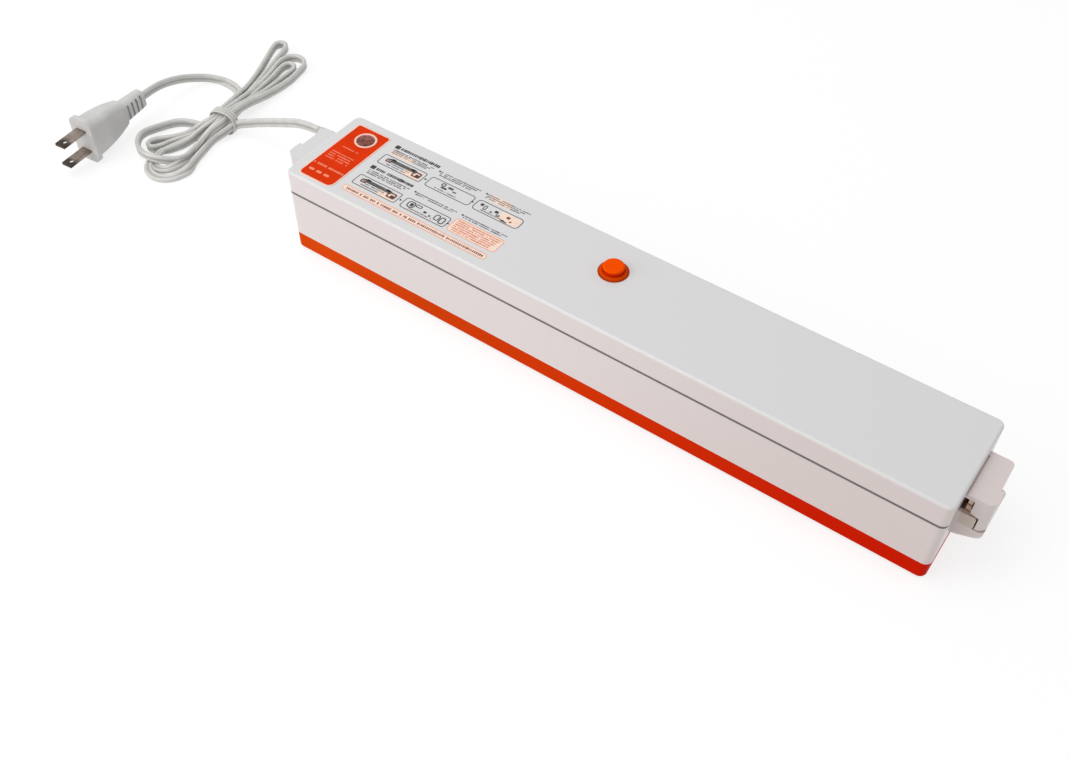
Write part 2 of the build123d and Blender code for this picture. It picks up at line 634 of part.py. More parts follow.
# ---------------------------------------------------------------- chamber deck
with BuildPart() as chamber_deck:
    with BuildSketch(Plane.XY.offset(DECK_BOTTOM)):
        with Locations((0, DECK_Y)):
            RectangleRounded(DECK_LENGTH, DECK_DEPTH, INNER_RADIUS - DECK_FRONT_GAP)
    extrude(amount=DECK_THICKNESS)
    # Pan of the vacuum trough.
    with BuildSketch(Plane.XY.offset(PAN_BOTTOM)):
        with Locations((0, TROUGH_Y)):
            SlotOverall(TROUGH_LENGTH + 2 * PAN_WALL, TROUGH_WIDTH + 2 * PAN_WALL)
    extrude(amount=DECK_BOTTOM - PAN_BOTTOM)
    with BuildSketch(Plane.XY.offset(TROUGH_FLOOR)):
        with Locations((0, TROUGH_Y)):
            SlotOverall(TROUGH_LENGTH, TROUGH_WIDTH)
    extrude(amount=TROUGH_DEPTH, mode=Mode.SUBTRACT)
    # Groove for the lower gasket.
    with BuildSketch(Plane.XY.offset(GASKET_SEAT)):
        with Locations((0, TROUGH_Y)):
            SlotOverall(GASKET_OUTER_LENGTH, GASKET_OUTER_WIDTH)
            SlotOverall(GASKET_INNER_LENGTH, GASKET_INNER_WIDTH, mode=Mode.SUBTRACT)
    extrude(amount=GASKET_GROOVE, mode=Mode.SUBTRACT)
    # Channel of the heater bar.
    with BuildSketch(Plane.XY.offset(CHANNEL_FLOOR - CHANNEL_WALL)):
        with Locations((0, CHANNEL_Y)):
            Rectangle(CHANNEL_LENGTH + 2 * CHANNEL_WALL, CHANNEL_WIDTH + 2 * CHANNEL_WALL)
    extrude(amount=DECK_BOTTOM - CHANNEL_FLOOR + CHANNEL_WALL)
    with BuildSketch(Plane.XY.offset(CHANNEL_FLOOR)):
        with Locations((0, CHANNEL_Y)):
            Rectangle(CHANNEL_LENGTH, CHANNEL_WIDTH)
    extrude(amount=CHANNEL_DEPTH, mode=Mode.SUBTRACT)
    # Intake hole in the trough floor.
    with BuildSketch(Plane.XY.offset(PAN_BOTTOM)):
        with Locations((NOZZLE_X, TROUGH_Y)):
            Circle(HOSE_RADIUS)
    extrude(amount=PAN_WALL, mode=Mode.SUBTRACT)
    # Holes for the lid's switch pegs, and a notch for the cord's strain relief.
    with BuildSketch(Plane.XY.offset(DECK_BOTTOM)):
        with Locations((SWITCH_X, SWITCH_Y), (-SWITCH_X, SWITCH_Y)):
            Circle(PEG_HOLE_RADIUS)
        with Locations((-HALF_LENGTH, CORD_EXIT_Y)):
            Rectangle(4 * WALL, 2 * RELIEF_RADIUS + 2 * TONGUE_GAP)
    extrude(amount=DECK_THICKNESS, mode=Mode.SUBTRACT)
save(chamber_deck.part, "chamber_deck")

with BuildPart() as lower_gasket:
    with BuildSketch(Plane.XY.offset(GASKET_SEAT)):
        with Locations((0, TROUGH_Y)):
            SlotOverall(GASKET_OUTER_LENGTH - 0.2, GASKET_OUTER_WIDTH - 0.2)
            SlotOverall(
                GASKET_INNER_LENGTH + 0.2, GASKET_INNER_WIDTH + 0.2, mode=Mode.SUBTRACT
            )
    extrude(amount=LOWER_GASKET_HEIGHT)
save(lower_gasket.part, "lower_gasket")

with BuildPart() as intake_nozzle:
    with BuildSketch(Plane.XY.offset(TROUGH_FLOOR)):
        with Locations((NOZZLE_X, TROUGH_Y)):
            Circle(NOZZLE_FLANGE)
    extrude(amount=1.2)
    with BuildSketch(Plane.XY.offset(TROUGH_FLOOR)):
        with Locations((NOZZLE_X, TROUGH_Y)):
            Circle(HOSE_RADIUS)
    extrude(amount=-PAN_WALL)
    with BuildSketch(Plane.XY.offset(PAN_BOTTOM)):
        with Locations((NOZZLE_X, TROUGH_Y)):
            Circle(NIPPLE_RADIUS - 0.05)
    extrude(amount=-NIPPLE_LENGTH)
    with BuildSketch(Plane.XY.offset(PAN_BOTTOM - NIPPLE_LENGTH)):
        with Locations((NOZZLE_X, TROUGH_Y)):
            Circle(NIPPLE_RADIUS / 2)
    extrude(amount=NIPPLE_LENGTH + PAN_WALL + 1.2, mode=Mode.SUBTRACT)
    # Slots of the dust screen across the mouth.
    with BuildSketch(Plane.XY.offset(TROUGH_FLOOR + 0.6)):
        with Locations((NOZZLE_X, TROUGH_Y)):
            with GridLocations(0, 1.6, 1, 5):
                Rectangle(5.4, 0.7)
    extrude(amount=0.6, mode=Mode.SUBTRACT)
save(intake_nozzle.part, "intake_nozzle")

# ---------------------------------------------------------------- heater
WIRE_LENGTH = CHANNEL_LENGTH - 2 * TERMINAL_LENGTH
BAR_HEIGHT = CHANNEL_DEPTH - WIRE_THICKNESS
with BuildPart() as heater_bar:
    with BuildSketch(Plane.XY.offset(CHANNEL_FLOOR)):
        with Locations((0, CHANNEL_Y)):
            Rectangle(WIRE_LENGTH, HEATER_BAR_WIDTH)
    extrude(amount=BAR_HEIGHT)
    fillet(heater_bar.edges().filter_by(Axis.X).group_by(Axis.Z)[-1], 0.8)
save(heater_bar.part, "heater_bar")

with BuildPart() as heating_wire:
    with BuildSketch(Plane.XY.offset(CHANNEL_FLOOR + BAR_HEIGHT)):
        with Locations((0, CHANNEL_Y)):
            Rectangle(WIRE_LENGTH + TERMINAL_LENGTH, WIRE_WIDTH)
    extrude(amount=WIRE_THICKNESS)
save(heating_wire.part, "heating_wire")

with BuildPart() as heater_tape:
    with BuildSketch(Plane.XY.offset(BASE_TOP)):
        with Locations((0, CHANNEL_Y)):
            Rectangle(WIRE_LENGTH, TAPE_WIDTH + 2.0)
    extrude(amount=TAPE_THICKNESS)
save(heater_tape.part, "heater_tape")

with BuildPart() as heater_terminals:
    for side in (-1, 1):
        with BuildSketch(Plane.XY.offset(CHANNEL_FLOOR)):
            with Locations((side * (CHANNEL_LENGTH - TERMINAL_LENGTH) / 2, CHANNEL_Y)):
                Rectangle(TERMINAL_LENGTH - 0.6, CHANNEL_WIDTH - 0.6)
        extrude(amount=BAR_HEIGHT)
        with Locations((side * (CHANNEL_LENGTH / 2 - 2.4), CHANNEL_Y, CHANNEL_FLOOR + BAR_HEIGHT)):
            CounterSinkHole(0.8, 1.4, depth=BAR_HEIGHT)
save(heater_terminals.part, "heater_terminals")

# ---------------------------------------------------------------- pump and hose
with BuildPart() as pump_motor:
    with BuildSketch(Plane.YZ.offset(MOTOR_X)):
        with Locations((TROUGH_Y, AXLE_HEIGHT)):
            Circle(MOTOR_RADIUS)
            Rectangle(2 * MOTOR_RADIUS, 1.6 * MOTOR_RADIUS, mode=Mode.INTERSECT)
    extrude(amount=MOTOR_LENGTH)
    with BuildSketch(Plane.YZ.offset(MOTOR_X)):
        with Locations((TROUGH_Y, AXLE_HEIGHT)):
            Circle(3.0)
    extrude(amount=-1.8)
save(pump_motor.part, "pump_motor")

with BuildPart() as pump_head:
    with BuildSketch(Plane.YZ.offset(PUMP_X)):
        with Locations((TROUGH_Y, AXLE_HEIGHT)):
            Circle(PUMP_RADIUS)
    extrude(amount=PUMP_LENGTH * 0.6)
    with BuildSketch(Plane.YZ.offset(PUMP_X + PUMP_LENGTH * 0.6)):
        with Locations((TROUGH_Y, AXLE_HEIGHT)):
            RectangleRounded(1.8 * PUMP_RADIUS, 1.8 * PUMP_RADIUS, 3.0)
    extrude(amount=PUMP_LENGTH * 0.4)
    with BuildSketch(Plane.YZ.offset(PUMP_END)):
        with Locations((TROUGH_Y, AXLE_HEIGHT)):
            Circle(NIPPLE_RADIUS - 0.05)
    extrude(amount=NIPPLE_LENGTH)
save(pump_head.part, "pump_head")

with BuildPart() as motor_clamp:
    with BuildSketch(Plane.YZ.offset(MOTOR_X + MOTOR_LENGTH / 2 - 3.0)):
        with Locations((TROUGH_Y, AXLE_HEIGHT)):
            Circle(MOTOR_RADIUS + 1.3)
            Circle(MOTOR_RADIUS + 0.1, mode=Mode.SUBTRACT)
            with Locations((0, -MOTOR_RADIUS)):
                Rectangle(4 * MOTOR_RADIUS, 2 * MOTOR_RADIUS, mode=Mode.SUBTRACT)
        for side in (-1, 1):
            with Locations((TROUGH_Y + side * (MOTOR_RADIUS + 0.7), AXLE_HEIGHT)):
                Rectangle(1.2, AXLE_HEIGHT - TRAY_FLOOR, align=(Align.CENTER, Align.MAX))
    extrude(amount=6.0)
save(motor_clamp.part, "motor_clamp")

with BuildPart() as pump_hose:
    with BuildLine() as hose_path:
        FilletPolyline(
            (PUMP_END + 0.1, TROUGH_Y, AXLE_HEIGHT),
            (NOZZLE_X, TROUGH_Y, AXLE_HEIGHT),
            (NOZZLE_X, TROUGH_Y, PAN_BOTTOM - 0.1),
            radius=HOSE_BEND,
        )
    with BuildSketch(Plane.YZ.offset(PUMP_END + 0.1)):
        with Locations((TROUGH_Y, AXLE_HEIGHT)):
            Circle(HOSE_RADIUS)
            Circle(NIPPLE_RADIUS, mode=Mode.SUBTRACT)
    sweep(path=hose_path.line)
save(pump_hose.part, "pump_hose")

# ---------------------------------------------------------------- electrics
with BuildPart() as circuit_board:
    with BuildSketch(Plane.XY.offset(BOARD_BOTTOM)):
        with Locations((BOARD_X, 0)):
            RectangleRounded(BOARD_LENGTH, BOARD_WIDTH, 1.5)
    extrude(amount=BOARD_THICKNESS)
save(circuit_board.part, "circuit_board")

with BuildPart() as board_capacitors:
    for place, radius in enumerate(CAPACITOR_RADII):
        x = BOARD_X - BOARD_LENGTH / 2 + CAPACITOR_PITCH * (place + 1)
        with Locations((x, CAPACITOR_ROW_Y, BOARD_TOP)):
            Cylinder(
                radius, CAPACITOR_ASPECT * radius, align=(Align.CENTER, Align.CENTER, Align.MIN)
            )
save(board_capacitors.part, "board_capacitors")

with BuildPart() as board_relay:
    with BuildSketch(Plane.XY.offset(BOARD_TOP)):
        with Locations((BOARD_X + BOARD_LENGTH / 2 - RELAY_INSET, RELAY_Y)):
            RectangleRounded(RELAY_LENGTH, RELAY_WIDTH, WALL / 2)
    extrude(amount=RELAY_HEIGHT)
    fillet(board_relay.faces().sort_by(Axis.Z)[-1].edges(), WALL / 3)
save(board_relay.part, "board_relay")

with BuildPart() as transformer:
    with BuildSketch(Plane.XY.offset(TRAY_FLOOR)):
        with Locations((TRANSFORMER_X, 0)):
            Rectangle(TRANSFORMER_LENGTH, TRANSFORMER_WIDTH * 0.6)
    extrude(amount=TRANSFORMER_HEIGHT)
    with BuildSketch(Plane.XY.offset(TRAY_FLOOR + 3.0)):
        with Locations((TRANSFORMER_X, 0)):
            RectangleRounded(TRANSFORMER_LENGTH * 0.62, TRANSFORMER_WIDTH, 2.0)
    extrude(amount=TRANSFORMER_HEIGHT - 6.0)
    with BuildSketch(Plane.XY.offset(TRAY_FLOOR)):
        with Locations((TRANSFORMER_X, 0)):
            SlotOverall(TRANSFORMER_LENGTH + 12.0, 8.0)
    extrude(amount=1.2)
save(transformer.part, "transformer")

for side, name in ((-1, "left"), (1, "right")):
    with BuildPart() as lid_switch:
        with BuildSketch(Plane.XY.offset(SWITCH_BOTTOM)):
            with Locations((side * SWITCH_X, SWITCH_Y)):
                Rectangle(SWITCH_LENGTH, SWITCH_DEPTH)
        extrude(amount=SWITCH_HEIGHT)
        with Locations((side * SWITCH_X, SWITCH_Y, SWITCH_TOP)):
            Hole(PLUNGER_RADIUS + RUNNING_GAP, depth=SWITCH_HEIGHT * 0.5)
    save(lid_switch.part, "lid_switch_" + name)

    with BuildPart() as plunger:
        with BuildSketch(Plane.XY.offset(SWITCH_TOP - SWITCH_HEIGHT * 0.5 + 2 * SWITCH_TRAVEL)):
            with Locations((side * SWITCH_X, SWITCH_Y)):
                Circle(PLUNGER_RADIUS)
        extrude(amount=PLUNGER_RISE + SWITCH_HEIGHT * 0.5 - 2 * SWITCH_TRAVEL)
        fillet(plunger.faces().sort_by(Axis.Z)[-1].edges(), 0.4)
    save(plunger.part, "switch_plunger_" + name)

# ---------------------------------------------------------------- hinge and latches
with BuildPart() as hinge_pins:
    for x in (-HINGE_STATION, HINGE_STATION):
        with BuildSketch(Plane.YZ.offset(x - HINGE_PIN_LENGTH / 2)):
            with Locations((HINGE_Y, HINGE_Z)):
                Circle(HINGE_PIN_RADIUS)
        extrude(amount=HINGE_PIN_LENGTH)
save(hinge_pins.part, "hinge_pins")

for side, name in ((-1, "left"), (1, "right")):
    with BuildPart() as latch_pin:
        with BuildSketch(Plane.XZ.offset(-EAR_BACK + 0.1)):
            with Locations((side * LEVER_PIVOT_X, LEVER_PIVOT_Z)):
                Circle(LEVER_PIN_RADIUS)
        extrude(amount=EAR_DEPTH - CHEEK_SKIN - 0.2)
    save(latch_pin.part, "latch_pin_" + name)

    with BuildPart() as latch_lever:
        with BuildSketch(Plane.XZ.offset(-LEVER_BACK)):
            with BuildLine():
                back = side * (LEVER_PIVOT_X - LEVER_THICKNESS / 2)
                face = side * (LEVER_PIVOT_X + LEVER_THICKNESS / 2)
                nose = side * NOSE_TIP_X
                Polyline(
                    (back, LEVER_PIVOT_Z),
                    (back, LEVER_TOP),
                    (face, LEVER_TOP),
                    (face, NOSE_TOP),
                    (nose, NOSE_TOP - NOSE_HEIGHT * 0.6),
                    (nose, NOSE_TOP - NOSE_HEIGHT * 0.9),
                    (face, NOSE_TOP - NOSE_HEIGHT),
                    (face, LEVER_PIVOT_Z),
                    close=True,
                )
            make_face()
            with Locations((side * LEVER_PIVOT_X, LEVER_PIVOT_Z)):
                Circle(LEVER_HUB)
                Circle(LEVER_PIN_RADIUS + RUNNING_GAP, mode=Mode.SUBTRACT)
        extrude(amount=LEVER_DEPTH)
        # Grip lines across the top of the lever's face.
        with BuildSketch(Plane.XZ.offset(-LEVER_BACK)):
            with Locations((face, LEVER_TOP - 1.2), (face, LEVER_TOP - 2.6)):
                Circle(0.35)
        extrude(amount=LEVER_DEPTH)
        # Gap in the hub for the spring's coil.
        with BuildSketch(Plane.XZ.offset(-EAR_Y - 2.2)):
            with Locations((side * LEVER_PIVOT_X, LEVER_PIVOT_Z)):
                Circle(LEVER_HUB + 0.2)
                Rectangle(3 * LEVER_HUB, 2 * LEVER_HUB)
        extrude(amount=4.4, mode=Mode.SUBTRACT)
    save(latch_lever.part, "latch_lever_" + name)

    with BuildPart() as latch_spring:
        for turn in range(3):
            with BuildSketch(Plane.XZ.offset(-EAR_Y - 1.6 + 1.1 * turn)):
                with Locations((side * LEVER_PIVOT_X, LEVER_PIVOT_Z)):
                    Circle(LEVER_HUB - 0.3)
                    Circle(LEVER_PIN_RADIUS + 0.1, mode=Mode.SUBTRACT)
            extrude(amount=1.2)
    save(latch_spring.part, "latch_spring_" + name)

# ---------------------------------------------------------------- lid shell
with BuildPart() as lid_shell:
    with BuildSketch(Plane.XY.offset(HINGE_Z - HINGE_RADIUS)):
        RectangleRounded(BODY_LENGTH, BODY_DEPTH, CORNER_RADIUS)
    extrude(amount=LID_TOP - HINGE_Z + HINGE_RADIUS)
    fillet(lid_shell.faces().sort_by(Axis.Z)[-1].edges(), EDGE_RADIUS)
    # Trim to the parting plane, leaving the hinge barrel below it.
    with BuildSketch(Plane.YZ.offset(-HALF_LENGTH)):
        with Locations((-HALF_DEPTH, HINGE_Z - HINGE_RADIUS)):
            Rectangle(
                BODY_DEPTH,
                LID_BOTTOM - HINGE_Z + HINGE_RADIUS,
                align=(Align.MIN, Align.MIN),
            )
    extrude(amount=BODY_LENGTH, mode=Mode.SUBTRACT)
    with BuildSketch(Plane.YZ.offset(-HINGE_HALF_SPAN)):
        with Locations((HINGE_Y, HINGE_Z)):
            Circle(HINGE_RADIUS)
        with Locations((HINGE_Y, HINGE_Z)):
            Rectangle(HINGE_RADIUS, 2 * HINGE_RADIUS, align=(Align.MIN, Align.MIN))
    extrude(amount=2 * HINGE_HALF_SPAN)
    # Hollow underside, kept full above the hinge barrel.
    with BuildSketch(Plane.XY.offset(LID_BOTTOM)):
        with Locations((0, (LINER_BACK - INNER_DEPTH / 2) / 2)):
            RectangleRounded(INNER_LENGTH, LINER_BACK + INNER_DEPTH / 2, INNER_RADIUS)
    extrude(amount=LID_CEILING - LID_BOTTOM, mode=Mode.SUBTRACT)
    with BuildSketch(Plane.XY.offset(HINGE_Z + HINGE_RADIUS + 0.8)):
        RectangleRounded(INNER_LENGTH, INNER_DEPTH, INNER_RADIUS)
    extrude(amount=LID_CEILING - HINGE_Z - HINGE_RADIUS - 0.8, mode=Mode.SUBTRACT)
    # Stiffening ribs between the liner and the ceiling.
    with BuildSketch(Plane.XY.offset(STRIP_TOP + STRIP_CHANNEL_WALL + 0.2)):
        with GridLocations(LID_RIB_PITCH, 0, LID_RIBS, 1):
            Rectangle(LID_RIB_THICKNESS, INNER_DEPTH)
    extrude(until=Until.NEXT)
    # Screw bosses for the liner.
    with BuildSketch(Plane.XY.offset(LINER_TOP)):
        for x in (-LINER_SCREW_X, LINER_SCREW_X):
            with Locations((x, TROUGH_Y)):
                with GridLocations(0, LINER_SCREW_PITCH, 1, 2):
                    Circle(LINER_BOSS_RADIUS)
                    Circle(LINER_SCREW_RADIUS, mode=Mode.SUBTRACT)
    extrude(amount=LID_CEILING - LINER_TOP)
    # Ledges the liner rests against.
    with BuildSketch(Plane.XY.offset(LINER_TOP)):
        with Locations((0, -INNER_DEPTH / 2 + 0.4)):
            Rectangle(INNER_LENGTH - 8.0, 1.6)
    extrude(amount=1.4)
    # Well of the vent button, and the guide hole of its stem.
    with BuildSketch(Plane.XY.offset(WELL_FLOOR - WELL_WALL)):
        with Locations((VENT_X, VENT_Y)):
            Circle(CAP_RADIUS + CAP_GAP + WELL_WALL)
    extrude(amount=LID_CEILING - WELL_FLOOR + WELL_WALL)
    with Locations((VENT_X, VENT_Y, LID_TOP)):
        CounterBoreHole(
            STEM_RADIUS + RUNNING_GAP, CAP_RADIUS + CAP_GAP, WELL_DEPTH, depth=WELL_DEPTH + 2 * WELL_WALL
        )
    # Bore of the indicator lens.
    with BuildSketch(Plane.XY.offset(LID_CEILING)):
        with Locations((LENS_X, LENS_Y)):
            Circle(LENS_RADIUS + RUNNING_GAP)
    extrude(amount=LID_TOP - LID_CEILING, mode=Mode.SUBTRACT)
    # Gaps and bores for the base's hinge knuckles and pins.
    for x in (-HINGE_STATION, HINGE_STATION):
        with BuildSketch(Plane.YZ.offset(x - KNUCKLE_WIDTH / 2 - SEAT_GAP)):
            with Locations((HINGE_Y, HINGE_Z)):
                Circle(GROOVE_RADIUS)
        extrude(amount=KNUCKLE_WIDTH + 2 * SEAT_GAP, mode=Mode.SUBTRACT)
        with BuildSketch(Plane.YZ.offset(x - HINGE_PIN_LENGTH / 2 - SEAT_GAP)):
            with Locations((HINGE_Y, HINGE_Z)):
                Circle(HINGE_PIN_RADIUS + RUNNING_GAP)
        extrude(amount=HINGE_PIN_LENGTH + 2 * SEAT_GAP, mode=Mode.SUBTRACT)
    # Ears: press plate, outer leg with its catch, and a short rear web.
    for side in (-1, 1):
        with BuildSketch(Plane.XZ.offset(-EAR_BACK)):
            with BuildLine():
                Polyline(
                    (side * (HALF_LENGTH - WALL / 2), PLATE_TOP),
                    (side * EAR_INNER_EDGE, PLATE_TOP),
                    (side * EAR_INNER_EDGE, LEG_BOTTOM),
                    (side * (EAR_OUTER - LEG_THICK_LOW), LEG_BOTTOM),
                    (side * (EAR_OUTER - LEG_THICK_LOW), CATCH_BOTTOM - CATCH_SLOPE),
                    (side * (EAR_OUTER - LEG_THICK_TOP), CATCH_BOTTOM),
                    (side * (EAR_OUTER - LEG_THICK_TOP), PLATE_BOTTOM),
                    (side * (HALF_LENGTH - WALL / 2), PLATE_BOTTOM),
                    close=True,
                )
            make_face()
        extrude(amount=EAR_DEPTH)
        # Grip pad on the front part of the leg.
        with BuildSketch(Plane.XZ.offset(-EAR_FRONT - EAR_GRIP_DEPTH)):
            with Locations((side * (EAR_OUTER - LEG_THICK_LOW / 2), (PLATE_TOP + LEG_BOTTOM) / 2)):
                Rectangle(LEG_THICK_LOW, PLATE_TOP - LEG_BOTTOM)
        extrude(amount=EAR_GRIP_DEPTH)
        with BuildSketch(Plane.XZ.offset(-EAR_BACK)):
            with Locations((side * (HALF_LENGTH + EAR_REACH / 2 - 1.0), PLATE_BOTTOM)):
                Rectangle(EAR_REACH - 2 * EAR_STEP, WEB_HEIGHT, align=(Align.CENTER, Align.MAX))
        extrude(amount=WEB_THICKNESS)
        # Parting groove where the press plate meets the end wall.
        with BuildSketch(Plane.XY.offset(PLATE_TOP - EAR_GROOVE)):
            with Locations((side * (HALF_LENGTH + EAR_GROOVE / 2), EAR_FRONT)):
                Rectangle(EAR_GROOVE, 0.9 * EAR_DEPTH, align=(Align.CENTER, Align.MIN))
        extrude(amount=2 * EAR_GROOVE, mode=Mode.SUBTRACT)
    front_corners = lid_shell.edges().filter_by(Axis.Z).filter_by(
        lambda e: abs(e.center().X) > EAR_OUTER - 0.1 and e.center().Y < EAR_FRONT + 0.1
    )
    fillet(front_corners, LEG_THICK_LOW - 0.2)
    back_corners = lid_shell.edges().filter_by(Axis.Z).filter_by(
        lambda e: abs(e.center().X) > EAR_INNER_EDGE - 0.1 and e.center().Y > EAR_BACK - 0.1
    )
    fillet(back_corners, 2.4)
save(lid_shell.part, "lid_shell")

# ---------------------------------------------------------------- lid liner and seals
with BuildPart() as lid_liner:
    with BuildSketch(Plane.XY.offset(LINER_BOTTOM)):
        with Locations((0, LINER_Y)):
            RectangleRounded(
                INNER_LENGTH - 2 * SEAT_GAP, LINER_DEPTH - SEAT_GAP, INNER_RADIUS - SEAT_GAP
            )
    extrude(amount=LINER_HEIGHT)
    # Channel of the seal strip.
    with BuildSketch(Plane.XY.offset(LINER_TOP)):
        with Locations((0, CHANNEL_Y)):
            Rectangle(CHANNEL_LENGTH, STRIP_WIDTH + 2 * STRIP_CHANNEL_WALL)
    extrude(amount=STRIP_TOP - LINER_TOP + STRIP_CHANNEL_WALL)
    with BuildSketch(Plane.XY.offset(LINER_BOTTOM)):
        with Locations((0, CHANNEL_Y)):
            Rectangle(CHANNEL_LENGTH - 2 * STRIP_CHANNEL_WALL, STRIP_WIDTH + 0.2)
    extrude(amount=STRIP_TOP - LINER_BOTTOM, mode=Mode.SUBTRACT)
    # Low rails that locate the upper gasket.
    with BuildSketch(Plane.XY.offset(LINER_BOTTOM)):
        with Locations((0, TROUGH_Y)):
            SlotOverall(GASKET_INNER_LENGTH - 0.4, GASKET_INNER_WIDTH - 0.4)
            SlotOverall(
                GASKET_INNER_LENGTH - 2.4, GASKET_INNER_WIDTH - 2.4, mode=Mode.SUBTRACT
            )
    extrude(amount=-0.8)
    # Pegs that press the lid switches.
    with BuildSketch(Plane.XY.offset(LINER_BOTTOM)):
        with Locations((SWITCH_X, SWITCH_Y), (-SWITCH_X, SWITCH_Y)):
            Circle(PEG_RADIUS)
    extrude(amount=PEG_BOTTOM - LINER_BOTTOM)
    with Locations((VENT_X, VENT_Y, LINER_TOP)):
        Hole(VENT_HOLE_RADIUS, depth=LINER_HEIGHT)
    with Locations(Location((0, TROUGH_Y, LINER_BOTTOM), (180, 0, 0))):
        with GridLocations(2 * LINER_SCREW_X, LINER_SCREW_PITCH, 2, 2):
            CounterSinkHole(
                LINER_SCREW_RADIUS + 2 * TONGUE_GAP, LINER_SCREW_HEAD + TONGUE_GAP, depth=LINER_HEIGHT
            )
save(lid_liner.part, "lid_liner")

with BuildPart() as upper_gasket:
    with BuildSketch(Plane.XY.offset(LINER_BOTTOM)):
        with Locations((0, TROUGH_Y)):
            SlotOverall(GASKET_OUTER_LENGTH - 0.2, GASKET_OUTER_WIDTH - 0.2)
            SlotOverall(
                GASKET_INNER_LENGTH + 0.2, GASKET_INNER_WIDTH + 0.2, mode=Mode.SUBTRACT
            )
    extrude(amount=GASKET_TOP + SEAT_GAP - LINER_BOTTOM)
save(upper_gasket.part, "upper_gasket")

with BuildPart() as seal_strip:
    with BuildSketch(Plane.XY.offset(STRIP_BOTTOM)):
        with Locations((0, CHANNEL_Y)):
            Rectangle(CHANNEL_LENGTH - 2 * STRIP_CHANNEL_WALL - 0.4, STRIP_WIDTH)
    extrude(amount=STRIP_HEIGHT)
    fillet(seal_strip.edges().filter_by(Axis.X).group_by(Axis.Z)[0], 0.8)
save(seal_strip.part, "seal_strip")

with BuildPart() as liner_screws:
    with Locations(Location((0, TROUGH_Y, LINER_BOTTOM), (180, 0, 0))):
        with GridLocations(2 * LINER_SCREW_X, LINER_SCREW_PITCH, 2, 2):
            with Locations((0, 0, -0.1)):
                Cone(
                    LINER_SCREW_RADIUS + 0.1,
                    LINER_SCREW_HEAD,
                    LINER_SCREW_HEAD / 2 + 0.1,
                    align=(Align.CENTER, Align.CENTER, Align.MAX),
                )
                Cylinder(
                    LINER_SCREW_RADIUS,
                    LINER_SCREW_LENGTH,
                    align=(Align.CENTER, Align.CENTER, Align.MAX),
                )
save(liner_screws.part, "liner_screws")

# ---------------------------------------------------------------- indicator lens
with BuildPart() as indicator_lens:
    with BuildSketch(Plane.XY.offset(LID_CEILING)):
        with Locations((LENS_X, LENS_Y)):
            Circle(LENS_RADIUS + LENS_FLANGE)
    extrude(amount=-LENS_FLANGE)
    with BuildSketch(Plane.XY.offset(LID_CEILING)):
        with Locations((LENS_X, LENS_Y)):
            Circle(LENS_RADIUS)
    extrude(amount=LID_TOP - LID_CEILING)
    # Crown of flat facets on top.
    with BuildSketch(Plane.XY.offset(LID_TOP)):
        with Locations((LENS_X, LENS_Y)):
            RegularPolygon(LENS_RADIUS, LENS_FACETS)
    with BuildSketch(Plane.XY.offset(LID_TOP + LENS_RISE)):
        with Locations((LENS_X, LENS_Y)):
            RegularPolygon(LENS_RADIUS / 2, LENS_FACETS)
    loft()
save(indicator_lens.part, "indicator_lens")

# ---------------------------------------------------------------- vent button
with BuildPart() as vent_bezel:
    with BuildSketch(Plane.XY.offset(LID_TOP)):
        with Locations((VENT_X, VENT_Y)):
            Circle(BEZEL_RADIUS)
            Circle(CAP_RADIUS + CAP_GAP, mode=Mode.SUBTRACT)
    extrude(amount=BEZEL_HEIGHT)
    rim = vent_bezel.faces().sort_by(Axis.Z)[-1].edges().sort_by(SortBy.RADIUS)
    chamfer(rim[-1], 0.9, 1.4)
save(vent_bezel.part, "vent_bezel")

with BuildPart() as vent_button:
    with BuildSketch(Plane.XY.offset(CAP_BOTTOM)):
        with Locations((VENT_X, VENT_Y)):
            Circle(CAP_RADIUS)
            Circle(CAP_RADIUS - CAP_WALL, mode=Mode.SUBTRACT)
    extrude(amount=CAP_CEILING - CAP_BOTTOM)
    with BuildSketch(Plane.XY.offset(CAP_CEILING)):
        with Locations((VENT_X, VENT_Y)):
            Circle(CAP_RADIUS)
    extrude(amount=CAP_WALL)
    fillet(vent_button.faces().sort_by(Axis.Z)[-1].edges(), 1.0)
    with BuildSketch(Plane.XY.offset(VENT_SEAL_TOP - VENT_SEAL_HEIGHT - 0.6)):
        with Locations((VENT_X, VENT_Y)):
            Circle(STEM_RADIUS)
    extrude(amount=CAP_CEILING - VENT_SEAL_TOP + VENT_SEAL_HEIGHT + 0.6)
    with BuildSketch(Plane.XY.offset(VENT_SEAL_TOP - VENT_SEAL_HEIGHT)):
        with Locations((VENT_X, VENT_Y)):
            Circle(STEM_RADIUS + 0.9)
    extrude(amount=-0.6)
save(vent_button.part, "vent_button")

with BuildPart() as vent_seal:
    with BuildSketch(Plane.XY.offset(VENT_SEAL_TOP - VENT_SEAL_HEIGHT)):
        with Locations((VENT_X, VENT_Y)):
            Circle(VENT_SEAL_RADIUS)
            Circle(STEM_RADIUS, mode=Mode.SUBTRACT)
    extrude(amount=VENT_SEAL_HEIGHT)
save(vent_seal.part, "vent_seal")

with BuildPart() as vent_spring:
    with BuildLine() as coil:
        Helix(
            pitch=(CAP_CEILING - WELL_FLOOR - 0.8) / 5,
            height=CAP_CEILING - WELL_FLOOR - 0.8,
            radius=2.6,
            center=(VENT_X, VENT_Y, WELL_FLOOR + 0.4),
        )
    with BuildSketch(Plane(origin=coil.line @ 0, z_dir=coil.line % 0)):
        Circle(0.3)
    sweep(path=coil.line, is_frenet=True)
save(vent_spring.part, "vent_spring")

